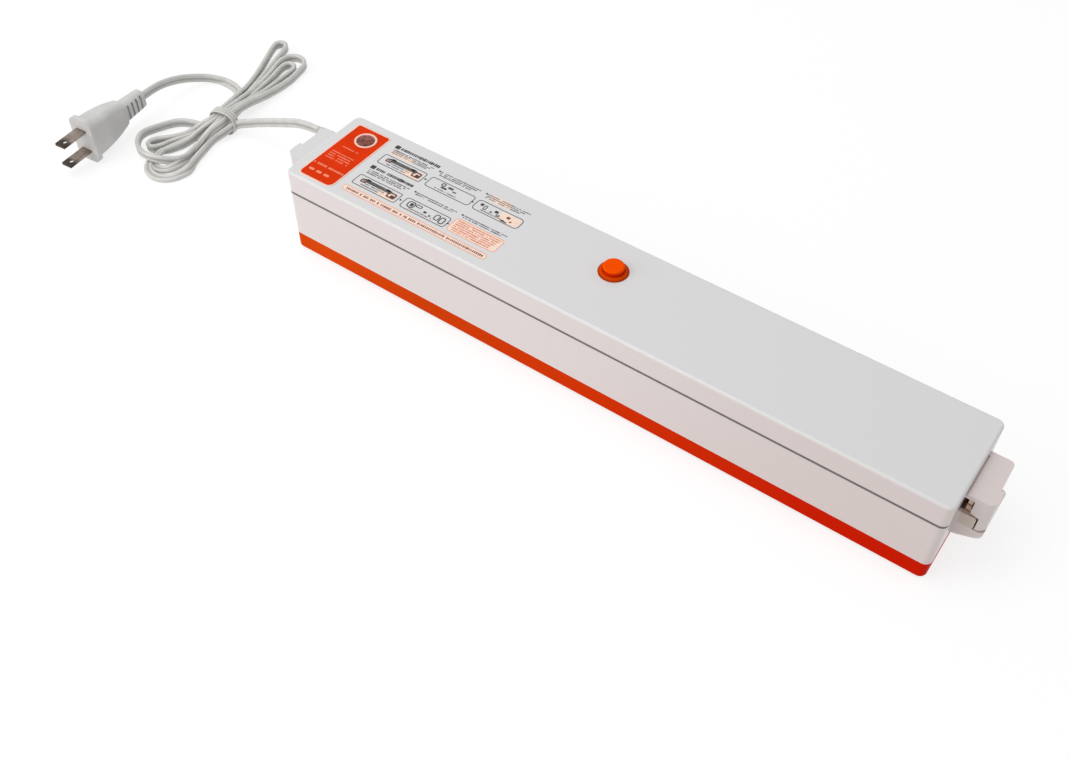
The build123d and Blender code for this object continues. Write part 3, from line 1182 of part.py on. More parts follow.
# ---------------------------------------------------------------- cord and plug
with BuildPart() as strain_relief:
    with BuildSketch(Plane.YZ.offset(-HALF_LENGTH + WALL + RELIEF_FLANGE)):
        with Locations((CORD_EXIT_Y, CORD_EXIT_Z)):
            Circle(RELIEF_RADIUS)
    extrude(amount=-RELIEF_FLANGE)
    with BuildSketch(Plane.YZ.offset(-HALF_LENGTH + WALL)):
        with Locations((CORD_EXIT_Y, CORD_EXIT_Z)):
            Circle(RELIEF_NECK_RADIUS)
    extrude(amount=-WALL)
    with BuildSketch(Plane.YZ.offset(-HALF_LENGTH)):
        with Locations((CORD_EXIT_Y, CORD_EXIT_Z)):
            Circle(RELIEF_RADIUS)
    with BuildSketch(Plane.YZ.offset(-HALF_LENGTH - RELIEF_LENGTH)):
        with Locations((CORD_EXIT_Y, CORD_EXIT_Z)):
            Circle(RELIEF_TIP_RADIUS)
    loft()
    # Slots that let the relief bend.
    for slot in range(RELIEF_SLOTS):
        x = -HALF_LENGTH - 7.0 - slot * 3.4
        with BuildSketch(Plane.YZ.offset(x)):
            with Locations((CORD_EXIT_Y, CORD_EXIT_Z)):
                Circle(RELIEF_RADIUS + 0.2)
                Circle(RELIEF_TIP_RADIUS - 0.7, mode=Mode.SUBTRACT)
                Rectangle(1.6, 3 * RELIEF_RADIUS, mode=Mode.SUBTRACT)
        extrude(amount=-1.2, mode=Mode.SUBTRACT)
save(strain_relief.part, "strain_relief")

save(cord_tube(LEAD_ROUTE, "cord_lead"), "cord_lead")
save(cord_tube(TAIL_ROUTE, "cord_tail"), "cord_tail")

with BuildPart() as cord_hank:
    with BuildSketch():
        with Locations(NECK):
            Circle(NECK_RADIUS)
        with Locations((-297.5, 95.0)):
            Circle(5.0)
        with Locations((-275.8, 82.0)):
            Circle(9.5)
        make_hull()
    with BuildSketch():
        with Locations(NECK):
            Circle(NECK_RADIUS)
        with Locations((-291.5, -8.0)):
            Circle(9.0)
        with Locations((-266.5, -24.0)):
            Circle(10.5)
        make_hull()
    extrude(amount=HANK_HEIGHT)
    fillet(cord_hank.faces().group_by(Axis.Z)[-1].edges(), 1.6)
    hank_plane = Plane(
        origin=(NECK[0], NECK[1], NECK_RADIUS + TIE_THICKNESS),
        z_dir=(math.cos(math.radians(HANK_DIRECTION)), math.sin(math.radians(HANK_DIRECTION)), 0),
    )
    with BuildSketch(hank_plane.offset(-TIE_WIDTH)):
        Circle(NECK_RADIUS)
    extrude(amount=2 * TIE_WIDTH)
save(cord_hank.part, "cord_hank")

with BuildPart() as cord_tie:
    with BuildSketch(hank_plane.offset(-TIE_WIDTH / 2)):
        Circle(NECK_RADIUS + TIE_THICKNESS)
        Circle(NECK_RADIUS, mode=Mode.SUBTRACT)
    extrude(amount=TIE_WIDTH)
save(cord_tie.part, "cord_tie")

plug_plane = Plane(origin=PLUG_TAIL, x_dir=(0, 0, 1), z_dir=PLUG_DIRECTION)
with BuildPart() as plug_body:
    # Ribbed relief, then the tapered grip, then the flange.
    with BuildSketch(plug_plane):
        RectangleRounded(PLUG_RELIEF_WIDTH, PLUG_RELIEF_HEIGHT, 3.2)
    with BuildSketch(plug_plane.offset(PLUG_RELIEF_LENGTH)):
        RectangleRounded(PLUG_RELIEF_WIDTH + 1.6, PLUG_RELIEF_HEIGHT + 1.2, 3.4)
    loft()
    with BuildSketch(plug_plane.offset(PLUG_RELIEF_LENGTH)):
        RectangleRounded(PLUG_RELIEF_WIDTH + 4.0, PLUG_RELIEF_HEIGHT + 2.4, 3.4)
    with BuildSketch(plug_plane.offset(PLUG_RELIEF_LENGTH + PLUG_BODY_LENGTH * 0.45)):
        RectangleRounded(PLUG_FLANGE_WIDTH - 6.6, PLUG_FLANGE_HEIGHT - 2.8, 3.6)
    with BuildSketch(plug_plane.offset(PLUG_RELIEF_LENGTH + PLUG_BODY_LENGTH)):
        RectangleRounded(PLUG_FLANGE_WIDTH - 4.0, PLUG_FLANGE_HEIGHT - 2.0, 3.8)
    loft()
    with BuildSketch(plug_plane.offset(PLUG_RELIEF_LENGTH + PLUG_BODY_LENGTH)):
        RectangleRounded(PLUG_FLANGE_WIDTH, PLUG_FLANGE_HEIGHT, 4.5)
    extrude(amount=PLUG_FLANGE_THICKNESS)
    # Slots across the two wide sides of the relief.
    for slot in range(PLUG_SLOTS):
        with BuildSketch(plug_plane.offset(2.6 + PLUG_SLOT_PITCH * slot)):
            Rectangle(PLUG_RELIEF_WIDTH - 2.0, 2 * PLUG_RELIEF_HEIGHT)
            Rectangle(PLUG_RELIEF_WIDTH, PLUG_RELIEF_HEIGHT - 2.6, mode=Mode.SUBTRACT)
        extrude(amount=PLUG_SLOT_WIDTH, mode=Mode.SUBTRACT)
save(plug_body.part, "plug_body")

pin_plane = plug_plane.offset(PLUG_RELIEF_LENGTH + PLUG_BODY_LENGTH + PLUG_FLANGE_THICKNESS)
with BuildPart() as plug_pins:
    with BuildSketch(pin_plane):
        with Locations((PIN_SPACING / 2, 0), (-PIN_SPACING / 2, 0)):
            Rectangle(PIN_THICKNESS, PIN_WIDTH)
    extrude(amount=PIN_LENGTH)
    fillet(plug_pins.faces().group_by(Axis.Y)[0].edges(), 0.4)
    # Holes near the tips of the pins.
    hole_centre = pin_plane.origin + PLUG_DIRECTION * (PIN_LENGTH - PIN_HOLE_INSET)
    with BuildSketch(Plane(origin=(hole_centre.X, hole_centre.Y, 0))):
        Circle(PIN_HOLE_RADIUS)
    extrude(amount=PLUG_FLANGE_WIDTH, mode=Mode.SUBTRACT)
save(plug_pins.part, "plug_pins")
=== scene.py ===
"""Finishes a vacuum sealer: its cord and tie, its lid label, the printed guide marks on its lid
and the surface of each part."""

import math

import bmesh
import bpy
from mathutils import Matrix, Vector


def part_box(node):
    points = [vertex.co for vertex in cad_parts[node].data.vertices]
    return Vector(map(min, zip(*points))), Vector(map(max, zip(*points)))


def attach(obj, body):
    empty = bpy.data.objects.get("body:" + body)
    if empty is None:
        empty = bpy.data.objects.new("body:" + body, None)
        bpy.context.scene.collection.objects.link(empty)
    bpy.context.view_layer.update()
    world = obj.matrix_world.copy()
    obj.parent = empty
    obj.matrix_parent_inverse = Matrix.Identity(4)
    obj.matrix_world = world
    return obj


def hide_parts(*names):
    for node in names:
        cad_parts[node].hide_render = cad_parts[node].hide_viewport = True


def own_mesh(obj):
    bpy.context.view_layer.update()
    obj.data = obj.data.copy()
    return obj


bl_info = {
    "name": "Vacuum Sealer Finish",
    "version": (1, 0, 0),
    "blender": (4, 5, 0),
    "location": "View3D > Sidebar > Sealer",
    "description": "Builds the cord, the lid marks and the surfaces of a vacuum sealer",
    "category": "Object",
}

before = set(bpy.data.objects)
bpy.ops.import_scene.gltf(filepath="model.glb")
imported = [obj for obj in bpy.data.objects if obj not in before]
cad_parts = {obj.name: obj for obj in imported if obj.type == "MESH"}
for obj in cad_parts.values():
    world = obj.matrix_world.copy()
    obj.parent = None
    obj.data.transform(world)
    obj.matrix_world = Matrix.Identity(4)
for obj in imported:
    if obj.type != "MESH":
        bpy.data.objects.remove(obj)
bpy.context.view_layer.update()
MM = 0.001

LID_LOW, LID_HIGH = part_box("lid_shell")
LENS_LOW, LENS_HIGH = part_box("indicator_lens")
BEZEL_LOW, BEZEL_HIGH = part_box("vent_bezel")
TIE_LOW, TIE_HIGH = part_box("cord_tie")
BUTTON_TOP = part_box("vent_button")[1].z
PIN_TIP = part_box("plug_pins")[0].y
DECK_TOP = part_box("chamber_deck")[1].z
LID_TOP = BEZEL_LOW.z
RELIEF_REACH = 22.0 * MM
BODY_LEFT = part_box("strain_relief")[0].x + RELIEF_REACH
BODY_RIGHT = -BODY_LEFT


# ------------------------------------------------------------------ shader expressions
class Signal:
    """A node's output that can be used in ordinary arithmetic."""

    def __init__(self, graph, socket):
        self.graph = graph
        self.socket = socket

    def _math(self, operation, *values):
        return self.graph.node("ShaderNodeMath", {"operation": operation}, dict(enumerate(values)))

    def __add__(self, other):
        return self._math("ADD", self, other)

    __radd__ = __add__

    def __sub__(self, other):
        return self._math("SUBTRACT", self, other)

    def __rsub__(self, other):
        return self._math("SUBTRACT", other, self)

    def __mul__(self, other):
        return self._math("MULTIPLY", self, other)

    __rmul__ = __mul__

    def __pow__(self, other):
        return self._math("POWER", self, other)

    def __rpow__(self, other):
        return self._math("POWER", other, self)

    def __lt__(self, other):
        return self._math("LESS_THAN", self, other)

    def __gt__(self, other):
        return self._math("GREATER_THAN", self, other)

    def absolute(self):
        return self._math("ABSOLUTE", self)

    def waves(self, pitch):
        """A sine wave with the given pitch."""
        return self._math("SINE", self * (2 * math.pi / pitch))

    def bars(self, low, high):
        """One bar to each unit of the value, with edges that rise from low to high."""
        return (self._math("FRACT", self) - 0.5).absolute().step(low, high)

    def step(self, low, high):
        """Rises smoothly from 0 at low to 1 at high."""
        settings = {"interpolation_type": "SMOOTHSTEP"}
        return self.graph.node("ShaderNodeMapRange", settings, {0: self, 1: low, 2: high})

    def between(self, low, high, soft):
        """1 between two values, with soft edges."""
        return self.step(low - soft, low) * (1.0 - self.step(high, high + soft))


class Graph:
    """A node tree whose nodes all come from one method."""

    def __init__(self, tree):
        self.nodes = tree.nodes
        self.links = tree.links

    def node(self, kind, settings=None, values=None, output=0):
        """Adds a node, sets it up, fills its sockets and returns one output."""
        made = self.nodes.new(kind)
        for key, value in (settings or {}).items():
            setattr(made, key, value)
        for key, value in (values or {}).items():
            self.fill(made.inputs[key], value)
        return Signal(self, made.outputs[output]) if made.outputs else None

    def fill(self, socket, value):
        """Links a signal to a socket, or writes a constant into it."""
        if isinstance(value, Signal):
            self.links.new(value.socket, socket)
        else:
            socket.default_value = value


class Finish(Graph):
    """The graph of one surface material."""

    COAT_ROUGHNESS = 0.12
    OBJECT_PLACE = 3

    def __init__(self, name, colour, roughness, metallic=0.0, coat=0.0, specular=0.5):
        self.material = bpy.data.materials.new(name)
        self.material.use_nodes = True
        self.material.diffuse_color = (*colour, 1.0)
        super().__init__(self.material.node_tree)
        self.sockets = self.nodes["Principled BSDF"].inputs
        for socket, value in (
            ("Base Color", (*colour, 1.0)),
            ("Roughness", roughness),
            ("Metallic", metallic),
            ("Coat Weight", coat),
            ("Coat Roughness", self.COAT_ROUGHNESS),
            ("Specular IOR Level", specular),
        ):
            self.sockets[socket].default_value = value

    def place(self):
        """The point on the piece, in metres."""
        return self.node("ShaderNodeTexCoord", output=self.OBJECT_PLACE)

    def axis(self, index):
        """One coordinate of the point on the piece."""
        return self.node("ShaderNodeSeparateXYZ", values={0: self.place()}, output=index)

    def noise(self, scale, detail=2.0, point=None):
        """Soft noise from 0 to 1, scale cells to the metre."""
        values = {"Vector": point or self.place(), "Scale": scale, "Detail": detail}
        return self.node("ShaderNodeTexNoise", values=values)

    def cells(self, scale, output="Distance"):
        """Scattered cells, scale of them to the metre: the distance to each one or its colour."""
        values = {"Vector": self.place(), "Scale": scale}
        return self.node("ShaderNodeTexVoronoi", values=values, output=output)

    def streaks(self, factors):
        """Noise drawn out along the axis whose factor is small."""
        settings = {"operation": "MULTIPLY"}
        stretched = self.node("ShaderNodeVectorMath", settings, {0: self.place(), 1: factors})
        return self.noise(1.0, 3.0, stretched)

    def mix(self, factor, first, second):
        """Blends two colours."""
        colours = [(*c, 1.0) if isinstance(c, tuple) else c for c in (first, second)]
        values = {0: factor, 6: colours[0], 7: colours[1]}
        return self.node("ShaderNodeMix", {"data_type": "RGBA"}, values, output=2)

    def tones(self, factor, colour, dark, light):
        """Runs from a darker to a lighter form of a colour."""
        return self.mix(factor, shade(colour, dark), shade(colour, light))

    def surface(self, colour, roughness, height=None, depth=0.0, strength=1.0):
        """Feeds what varies over the piece, colour, roughness and grain, and gives its material."""
        self.fill(self.sockets["Base Color"], colour)
        self.fill(self.sockets["Roughness"], roughness)
        if height:
            values = {"Strength": strength, "Distance": depth, "Height": height}
            self.fill(self.sockets["Normal"], self.node("ShaderNodeBump", values=values))
        return self.material


def linear(colour):
    """Turns a screen colour of 0 to 255 into linear light."""
    return tuple(
        c / 255 / 12.92 if c / 255 <= 0.04045 else ((c / 255 + 0.055) / 1.055) ** 2.4 for c in colour
    )


def shade(colour, factor):
    """A darker or lighter form of a colour."""
    return tuple(min(1.0, c * factor) for c in colour)


def tint(colour, factors):
    """A colour with a factor of its own for each part."""
    return tuple(c * factor for c, factor in zip(colour, factors))


# ------------------------------------------------------------------ sizes that a user would change
class CordSizes(bpy.types.PropertyGroup):
    """The flat twin cord."""

    width: bpy.props.FloatProperty(
        name="Cord width", description="Width across both cores", default=5.2 * MM, unit="LENGTH"
    )
    thickness: bpy.props.FloatProperty(
        name="Cord thickness", description="Thickness of one core", default=2.6 * MM, unit="LENGTH"
    )
    colour: bpy.props.FloatVectorProperty(
        name="Cord colour",
        description="Colour of the sheath",
        default=linear((206, 206, 202)),
        subtype="COLOR",
    )


class ShellColours(bpy.types.PropertyGroup):
    """The colours of the moulded housing."""

    shell: bpy.props.FloatVectorProperty(
        name="Shell",
        description="Colour of the lid and the housing",
        default=linear((224, 217, 216)),
        subtype="COLOR",
    )
    stripe: bpy.props.FloatVectorProperty(
        name="Stripe",
        description="Colour of the bottom tray",
        default=linear((216, 70, 0)),
        subtype="COLOR",
    )
    button: bpy.props.FloatVectorProperty(
        name="Button",
        description="Colour of the vent button",
        default=linear((246, 80, 0)),
        subtype="COLOR",
    )


class LabelSizes(bpy.types.PropertyGroup):
    """The coloured label and the guide marks on the lid."""

    width: bpy.props.FloatProperty(
        name="Label width", description="Size of the label along the lid", default=19.6 * MM, unit="LENGTH"
    )
    depth: bpy.props.FloatProperty(
        name="Label depth", description="Size of the label across the lid", default=44.4 * MM, unit="LENGTH"
    )
    thickness: bpy.props.FloatProperty(
        name="Label thickness", description="Height above the lid", default=0.16 * MM, unit="LENGTH"
    )
    ink: bpy.props.FloatProperty(
        name="Ink thickness", description="Height of a printed mark", default=0.05 * MM, unit="LENGTH"
    )
    colour: bpy.props.FloatVectorProperty(
        name="Label colour", description="Colour of the label", default=linear((220, 54, 5)), subtype="COLOR"
    )


class StageSizes(bpy.types.PropertyGroup):
    """The floor, the lamps and the camera."""

    focal_length: bpy.props.FloatProperty(
        name="Focal length", description="Focal length of the lens in millimetres", default=40.614
    )
    floor_size: bpy.props.FloatProperty(
        name="Floor size", description="Side of the floor", default=12.0, unit="LENGTH"
    )


# ------------------------------------------------------------------ mesh helpers
def new_object(name, data):
    """Makes an object and links it to the scene."""
    made = bpy.data.objects.new(name, data)
    bpy.context.scene.collection.objects.link(made)
    return made


def piece_from_mesh(mesh, name, material, body, smooth=True):
    """Makes a finished piece that rides on a body of the machine."""
    piece = new_object(name, mesh)
    mesh.materials.clear()
    mesh.materials.append(material)
    mesh.polygons.foreach_set("use_smooth", [smooth] * len(mesh.polygons))
    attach(piece, body)
    return piece


def solved_mesh(holder):
    """The plain mesh that an object comes to once its modifiers have run; the object goes."""
    bpy.context.view_layer.update()
    mesh = bpy.data.meshes.new_from_object(holder.evaluated_get(bpy.context.evaluated_depsgraph_get()))
    bpy.data.objects.remove(holder)
    return mesh


def mesh_from_bmesh(shape, name):
    """Closes a bmesh's doubles, points its faces outwards and turns it into a mesh."""
    bmesh.ops.remove_doubles(shape, verts=shape.verts, dist=1e-7)
    bmesh.ops.recalc_face_normals(shape, faces=shape.faces)
    mesh = bpy.data.meshes.new(name)
    shape.to_mesh(mesh)
    shape.free()
    return mesh


def rounded_outline(centre, width, depth, radii, steps=8):
    """Corner points of a rectangle whose four corners have their own radii, back right first."""
    points = []
    corners = ((1, 1), (-1, 1), (-1, -1), (1, -1))
    for (sx, sy), radius, start in zip(corners, radii, (0, 90, 180, 270)):
        middle = Vector((centre[0] + sx * (width / 2 - radius), centre[1] + sy * (depth / 2 - radius)))
        count = steps if radius > 0 else 0
        for step in range(count + 1):
            angle = math.radians(start + 90 * (step / count if count else 0.5))
            points.append(middle + radius * Vector((math.cos(angle), math.sin(angle))))
    return points


def add_skin(shape, rings, loop=False):
    """Joins rings of vertices with faces: back to the first ring for a loop, else with closed ends."""
    following = [*rings[1:], rings[0]] if loop else rings[1:]
    for ring, ahead in zip(rings, following):
        for i in range(len(ring)):
            j = (i + 1) % len(ring)
            shape.faces.new((ring[i], ring[j], ahead[j], ahead[i]))
    if not loop:
        shape.faces.new(rings[0][::-1])
        shape.faces.new(rings[-1])


def add_plate(shape, outline, low, high):
    """Adds a flat plate with the given outline between two heights."""
    add_skin(shape, [[shape.verts.new((p.x, p.y, z)) for p in outline] for z in (low, high)])


def add_band(shape, outer, inner, low, high):
    """Adds a closed band between two outlines that have the same number of points."""
    edges = ((outer, low), (outer, high), (inner, high), (inner, low))
    rings = [[shape.verts.new((p.x, p.y, z)) for p in outline] for outline, z in edges]
    add_skin(shape, rings, loop=True)


# ------------------------------------------------------------------ cord
# The cord's route in millimetres: from the strain relief to the hank, its last open loop, and on to
# the plug.
LEAD_ROUTE = [
    (-192.5, 20.6, 33.0),
    (-204.5, 20.6, 33.0),
    (-224.0, 23.0, 23.3),
    (-241.0, 24.2, 15.2),
    (-252.5, 23.8, 9.8),
    (-261.6, 21.4, 6.5),
    (-263.4, 13.5, 4.6),
]
LOOP_ROUTE = [
    (-266.9, 15.4, 9.5),
    (-267.9, 7.0, 6.4),
    (-267.0, -4.0, 3.3),
    (-265.4, -16.0, 3.0),
    (-275.1, -26.2, 6.2),
    (-288.9, -26.2, 5.7),
    (-298.2, -16.3, 6.2),
    (-298.0, -3.5, 3.2),
    (-293.4, 7.2, 2.8),
    (-285.1, 11.4, 2.8),
    (-277.3, 12.0, 3.6),
    (-272.1, 15.2, 4.0),
]
TAIL_ROUTE = [
    (-270.5, 22.0, 3.6),
    (-275.5, 34.0, 2.0),
    (-282.0, 45.5, 1.4),
    (-291.0, 51.0, 1.9),
    (-305.5, 50.0, 2.8),
    (-315.0, 38.5, 5.8),
    (-316.2, 25.5, 10.4),
    (-314.75, 12.45, 13.8),
    (-313.7, 1.5, 13.8),
]

# The neck of the hank, which the tie holds: its middle and bearing in plan, half its length, the
# two heights of the strands in it, and how far it pulls the next point of a fold to its height.
NECK = Vector((-269.0, 19.5))
NECK_BEARING = math.radians(103.0)
NECK_FORWARD = Vector((math.cos(NECK_BEARING), math.sin(NECK_BEARING)))
NECK_RIGHT = Vector((NECK_FORWARD.y, -NECK_FORWARD.x))
NECK_HALF_LENGTH = 4.5
NECK_LOW = 5.1
NECK_HIGH = 9.5
NECK_PULL = 0.65

# Height of the cord's middle where it stands on edge and where it lies flat on the floor.
ON_EDGE = 2.65
FLAT = 1.35

# The form of a fold: the points along each side as shares of its reach, the share of the way to the
# middle of its tip where the sides end, the straight run before the tip, bearings round the tip in
# eighths of a turn, how far the tip swells, and how far a hump or dip spreads along the cord.
FOLD_REACH = (0.26, 0.48, 0.72)
TIP_START = 0.8
TIP_SHOULDER = 4.5
TIP_STEPS = (-2.0, -1.0, 0.0, 1.0, 2.0)
EIGHTH_TURN = math.radians(45.0)
TIP_SWELL = 1.07
HUMP_SPREAD = 7.0

# How finely the route and the cord's section are drawn, and the half angle of the groove in a core.
SPLINE_STEPS = 10
SPLINE_ORDER = 3
SMALLEST_STEP = 0.05 * MM
CORE_STEPS = 8
CORE_WAIST = math.radians(38.0)

# Each fold in the order of the winding: bearings in degrees of its first side, its last side and
# its tip, reach, radius of its tip, place across the neck and height in it before and after the
# fold, and the distance and height of a hump or dip.
FOLDS = (
    (285.0, 254.0, 268.5, 52.2, 11.2, None, (-1.15, NECK_HIGH), 49.0, -1.3),
    (105.0, 90.0, 98.8, 74.6, 7.2, (-1.15, NECK_HIGH), (3.45, NECK_HIGH), 30.0, 2.0),
    (276.0, 251.0, 263.0, 46.8, 7.0, (3.45, NECK_HIGH), (-1.15, NECK_LOW), 46.0, -1.3),
    (108.0, 113.0, 110.6, 84.2, 3.5, (-1.15, NECK_LOW), (-3.45, NECK_HIGH), 29.0, 3.3),
    (237.5, 243.8, 240.6, 42.6, 3.0, (-3.45, NECK_HIGH), (1.15, NECK_LOW), 30.0, 0.0),
    (101.5, 95.4, 98.5, 66.6, 3.4, (1.15, NECK_LOW), (1.15, NECK_HIGH), 30.0, 1.0),
)


def polar(distance, bearing):
    """A plan vector of a length and a bearing."""
    return distance * Vector((math.cos(bearing), math.sin(bearing)))


def neck_point(across, along, height):
    """A point of the bundle inside or just outside the tie."""
    place = NECK + along * NECK_FORWARD + across * NECK_RIGHT
    return (place.x, place.y, height)


def fold_points(first, last, middle, reach, tip, entry, leaving, hump_at, hump):
    """The points of one fold of the hank, out along one side, round its tip and back."""
    middle = math.radians(middle)
    way = 1 if last > first else -1
    side = min(reach, TIP_START * (reach - tip) / FOLD_REACH[-1])
    forward = polar(1.0, middle)
    across = way * TIP_SWELL * tip * Vector((-forward.y, forward.x))
    shoulder = (reach - tip - TIP_SHOULDER) * forward
    outward = [polar(side * share, math.radians(first)) for share in FOLD_REACH]
    inward = [polar(side * share, math.radians(last)) for share in reversed(FOLD_REACH)]
    turn = [
        (reach - tip) * forward + polar(TIP_SWELL * tip, middle + way * step * EIGHTH_TURN)
        for step in TIP_STEPS
    ]
    places = [*outward, shoulder - across, *turn, shoulder + across, *inward]
    points = []
    for index, (x, y) in enumerate(places):
        height = ON_EDGE + hump * math.exp(-(((math.hypot(x, y) - hump_at) / HUMP_SPREAD) ** 2))
        neck = entry if index == 0 else leaving if index == len(places) - 1 else None
        if neck is not None:
            height += NECK_PULL * (neck[1] - height)
        points.append((NECK.x + x, NECK.y + y, height))
    return points


def cord_route():
    """The control points of the whole cord, in millimetres."""
    route = list(LEAD_ROUTE)
    for first, last, middle, reach, tip, entry, leaving, hump_at, hump in FOLDS:
        along = math.copysign(NECK_HALF_LENGTH, math.sin(math.radians(first)))
        if entry is not None:
            route.append(neck_point(entry[0], along, entry[1]))
        route += fold_points(first, last, middle, reach, tip, entry, leaving, hump_at, hump)
        route.append(neck_point(leaving[0], along, leaving[1]))
    return route + LOOP_ROUTE + TAIL_ROUTE


def spline_points(route):
    """Points along the smooth cord, read from a spline through its route."""
    curve = bpy.data.curves.new("cord_route", "CURVE")
    curve.dimensions = "3D"
    curve.resolution_u = SPLINE_STEPS
    spline = curve.splines.new("NURBS")
    spline.points.add(len(route) - 1)
    for point, place in zip(spline.points, route):
        point.co = (*(Vector(place) * MM), 1.0)
    spline.order_u = SPLINE_ORDER
    spline.use_endpoint_u = True
    line = solved_mesh(new_object("cord_route", curve))
    points = []
    for vertex in line.vertices:
        if not points or (vertex.co - points[-1]).length > SMALLEST_STEP:
            points.append(vertex.co.copy())
    bpy.data.curves.remove(curve)
    bpy.data.meshes.remove(line)
    return points


def twin_section(width, thickness):
    """The outline of two round cores joined side by side, as (across, through) pairs."""
    radius = thickness / 2
    offset = width / 2 - radius
    outline = []
    for side in (1, -1):
        for step in range(CORE_STEPS + 1):
            angle = -math.pi + CORE_WAIST + (2 * math.pi - 2 * CORE_WAIST) * step / CORE_STEPS
            outline.append((side * (offset + radius * math.cos(angle)), side * radius * math.sin(angle)))
    return outline


def cord_mesh(points, width, thickness):
    """A flat twin cord along points, and its length. It stands on edge, and lies flat where its
    middle is lower than half its width."""
    shape = bmesh.new()
    share_across = shape.verts.layers.float.new("across")
    section = twin_section(width, thickness)
    rings = []
    travelled = 0.0
    for index, point in enumerate(points):
        ahead = points[min(index + 1, len(points) - 1)]
        behind = points[max(index - 1, 0)]
        tangent = (ahead - behind).normalized()
        side = tangent.cross(Vector((0, 0, 1))).normalized()
        upward = side.cross(tangent).normalized()
        lift = (point.z / MM - FLAT) / (ON_EDGE - FLAT)
        roll = math.acos(min(1.0, max(0.0, lift)))
        wide = math.cos(roll) * upward + math.sin(roll) * side
        thin = tangent.cross(wide)
        ring = []
        for across, through in section:
            vertex = shape.verts.new(point + across * wide + through * thin)
            vertex[share_across] = across / (width / 2)
            ring.append(vertex)
        rings.append(ring)
        travelled += (ahead - point).length
    add_skin(shape, rings)
    return mesh_from_bmesh(shape, "power_cord"), travelled


def cord_finish(colour):
    """Soft glossy sheath, with painted shade darker along the groove between its two cores."""
    finish = Finish("cord_sheath", colour, 0.34, coat=0.15)
    across = finish.node("ShaderNodeAttribute", {"attribute_name": "across"}, output=2)
    # Painted shade in the groove between the two cores.
    groove_shade = 1.0 - across.absolute().step(0.02, 0.34)
    mottling = finish.noise(170.0, 3.0).step(0.3, 0.75)
    sheath = finish.tones(mottling, colour, dark=0.93, light=1.04)
    body = finish.mix(0.62 * groove_shade, sheath, shade(colour, 0.46))
    grain = finish.noise(900.0)
    return finish.surface(body, 0.3 + 0.12 * finish.noise(420.0), grain, depth=0.06 * MM, strength=0.35)


class SEALER_OT_cord(bpy.types.Operator):
    """Winds the flat cord from the strain relief through its hank to the plug"""

    bl_idname = "sealer.cord"
    bl_label = "Cord"

    def execute(self, context):
        sizes = context.scene.sealer_cord
        points = spline_points(cord_route())
        mesh, length = cord_mesh(points, sizes.width, sizes.thickness)
        cord = piece_from_mesh(mesh, "power_cord", cord_finish(tuple(sizes.colour)), "base")
        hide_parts("cord_lead", "cord_hank", "cord_tail")
        return {"FINISHED"}


# ------------------------------------------------------------------ tie
# The tie's three turns in millimetres: pitch, half height and half width of a turn, its sideways
# shift, the half size of the band, and the powers that square off a turn and the band's section.
WRAP_TURNS = 3
WRAP_TURN_STEPS = 48
WRAP_SECTION_STEPS = 16
WRAP_PITCH = 1.72
WRAP_HEIGHT = 6.83
WRAP_REACH = 7.85
WRAP_SHIFT = 0.95
WRAP_HALF_WIDTH = 0.76
WRAP_HALF_THICKNESS = 0.42
TURN_POWER = 0.8
WIDTH_POWER = 0.5
THICKNESS_POWER = 0.7
RIB_PITCH = 0.5 * MM
TIE_COLOUR = linear((208, 208, 204))


def squared(value, power):
    """A sine or cosine drawn outwards, so that its circle turns into a soft square."""
    return math.copysign(abs(value) ** power, value)


def wrap_mesh():
    """A flat soft band wound three times round the bundle, its ends tucked below."""
    shape = bmesh.new()
    forward = NECK_FORWARD.to_3d()
    right = NECK_RIGHT.to_3d()
    middle = (TIE_LOW + TIE_HIGH) / 2
    section = []
    for step in range(WRAP_SECTION_STEPS):
        angle = 2 * math.pi * (step + 0.5) / WRAP_SECTION_STEPS
        across = squared(math.cos(angle), WIDTH_POWER) * WRAP_HALF_WIDTH
        section.append((across, squared(math.sin(angle), THICKNESS_POWER) * WRAP_HALF_THICKNESS))
    steps = WRAP_TURNS * WRAP_TURN_STEPS
    rings = []
    for step in range(steps + 1):
        share = step / steps
        angle = 2 * math.pi * WRAP_TURNS * share - math.pi / 2
        cosine, sine = math.cos(angle), math.sin(angle)
        outward = (cosine * right + Vector((0.0, 0.0, sine))).normalized()
        side = WRAP_SHIFT + WRAP_REACH * squared(cosine, TURN_POWER)
        height = WRAP_HEIGHT * squared(sine, TURN_POWER)
        along = WRAP_PITCH * WRAP_TURNS * (share - 0.5)
        place = middle + (along * forward + side * right + Vector((0.0, 0.0, height))) * MM
        rings.append([shape.verts.new(place + (a * forward + out * outward) * MM) for a, out in section])
    add_skin(shape, rings)
    return mesh_from_bmesh(shape, "tie_wrap")


def ribbed_tie(colour):
    """Pale soft tie with fine ribs along its band."""
    finish = Finish("ribbed_tie", colour, 0.5)
    ribs = finish.axis(1).waves(RIB_PITCH) * 0.5 + 0.5
    crinkle = finish.noise(380.0, 3.0)
    body = finish.tones(crinkle, colour, dark=0.84, light=1.08)
    relief = ribs * 0.6 + crinkle * 0.4
    return finish.surface(body, 0.42 + 0.16 * crinkle, relief, depth=0.15 * MM, strength=0.6)


class SEALER_OT_tie(bpy.types.Operator):
    """Winds the flat tie round the hank"""

    bl_idname = "sealer.tie"
    bl_label = "Tie"

    def execute(self, context):
        tie = piece_from_mesh(wrap_mesh(), "tie_wrap", ribbed_tie(TIE_COLOUR), "base")
        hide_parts("cord_tie")
        return {"FINISHED"}


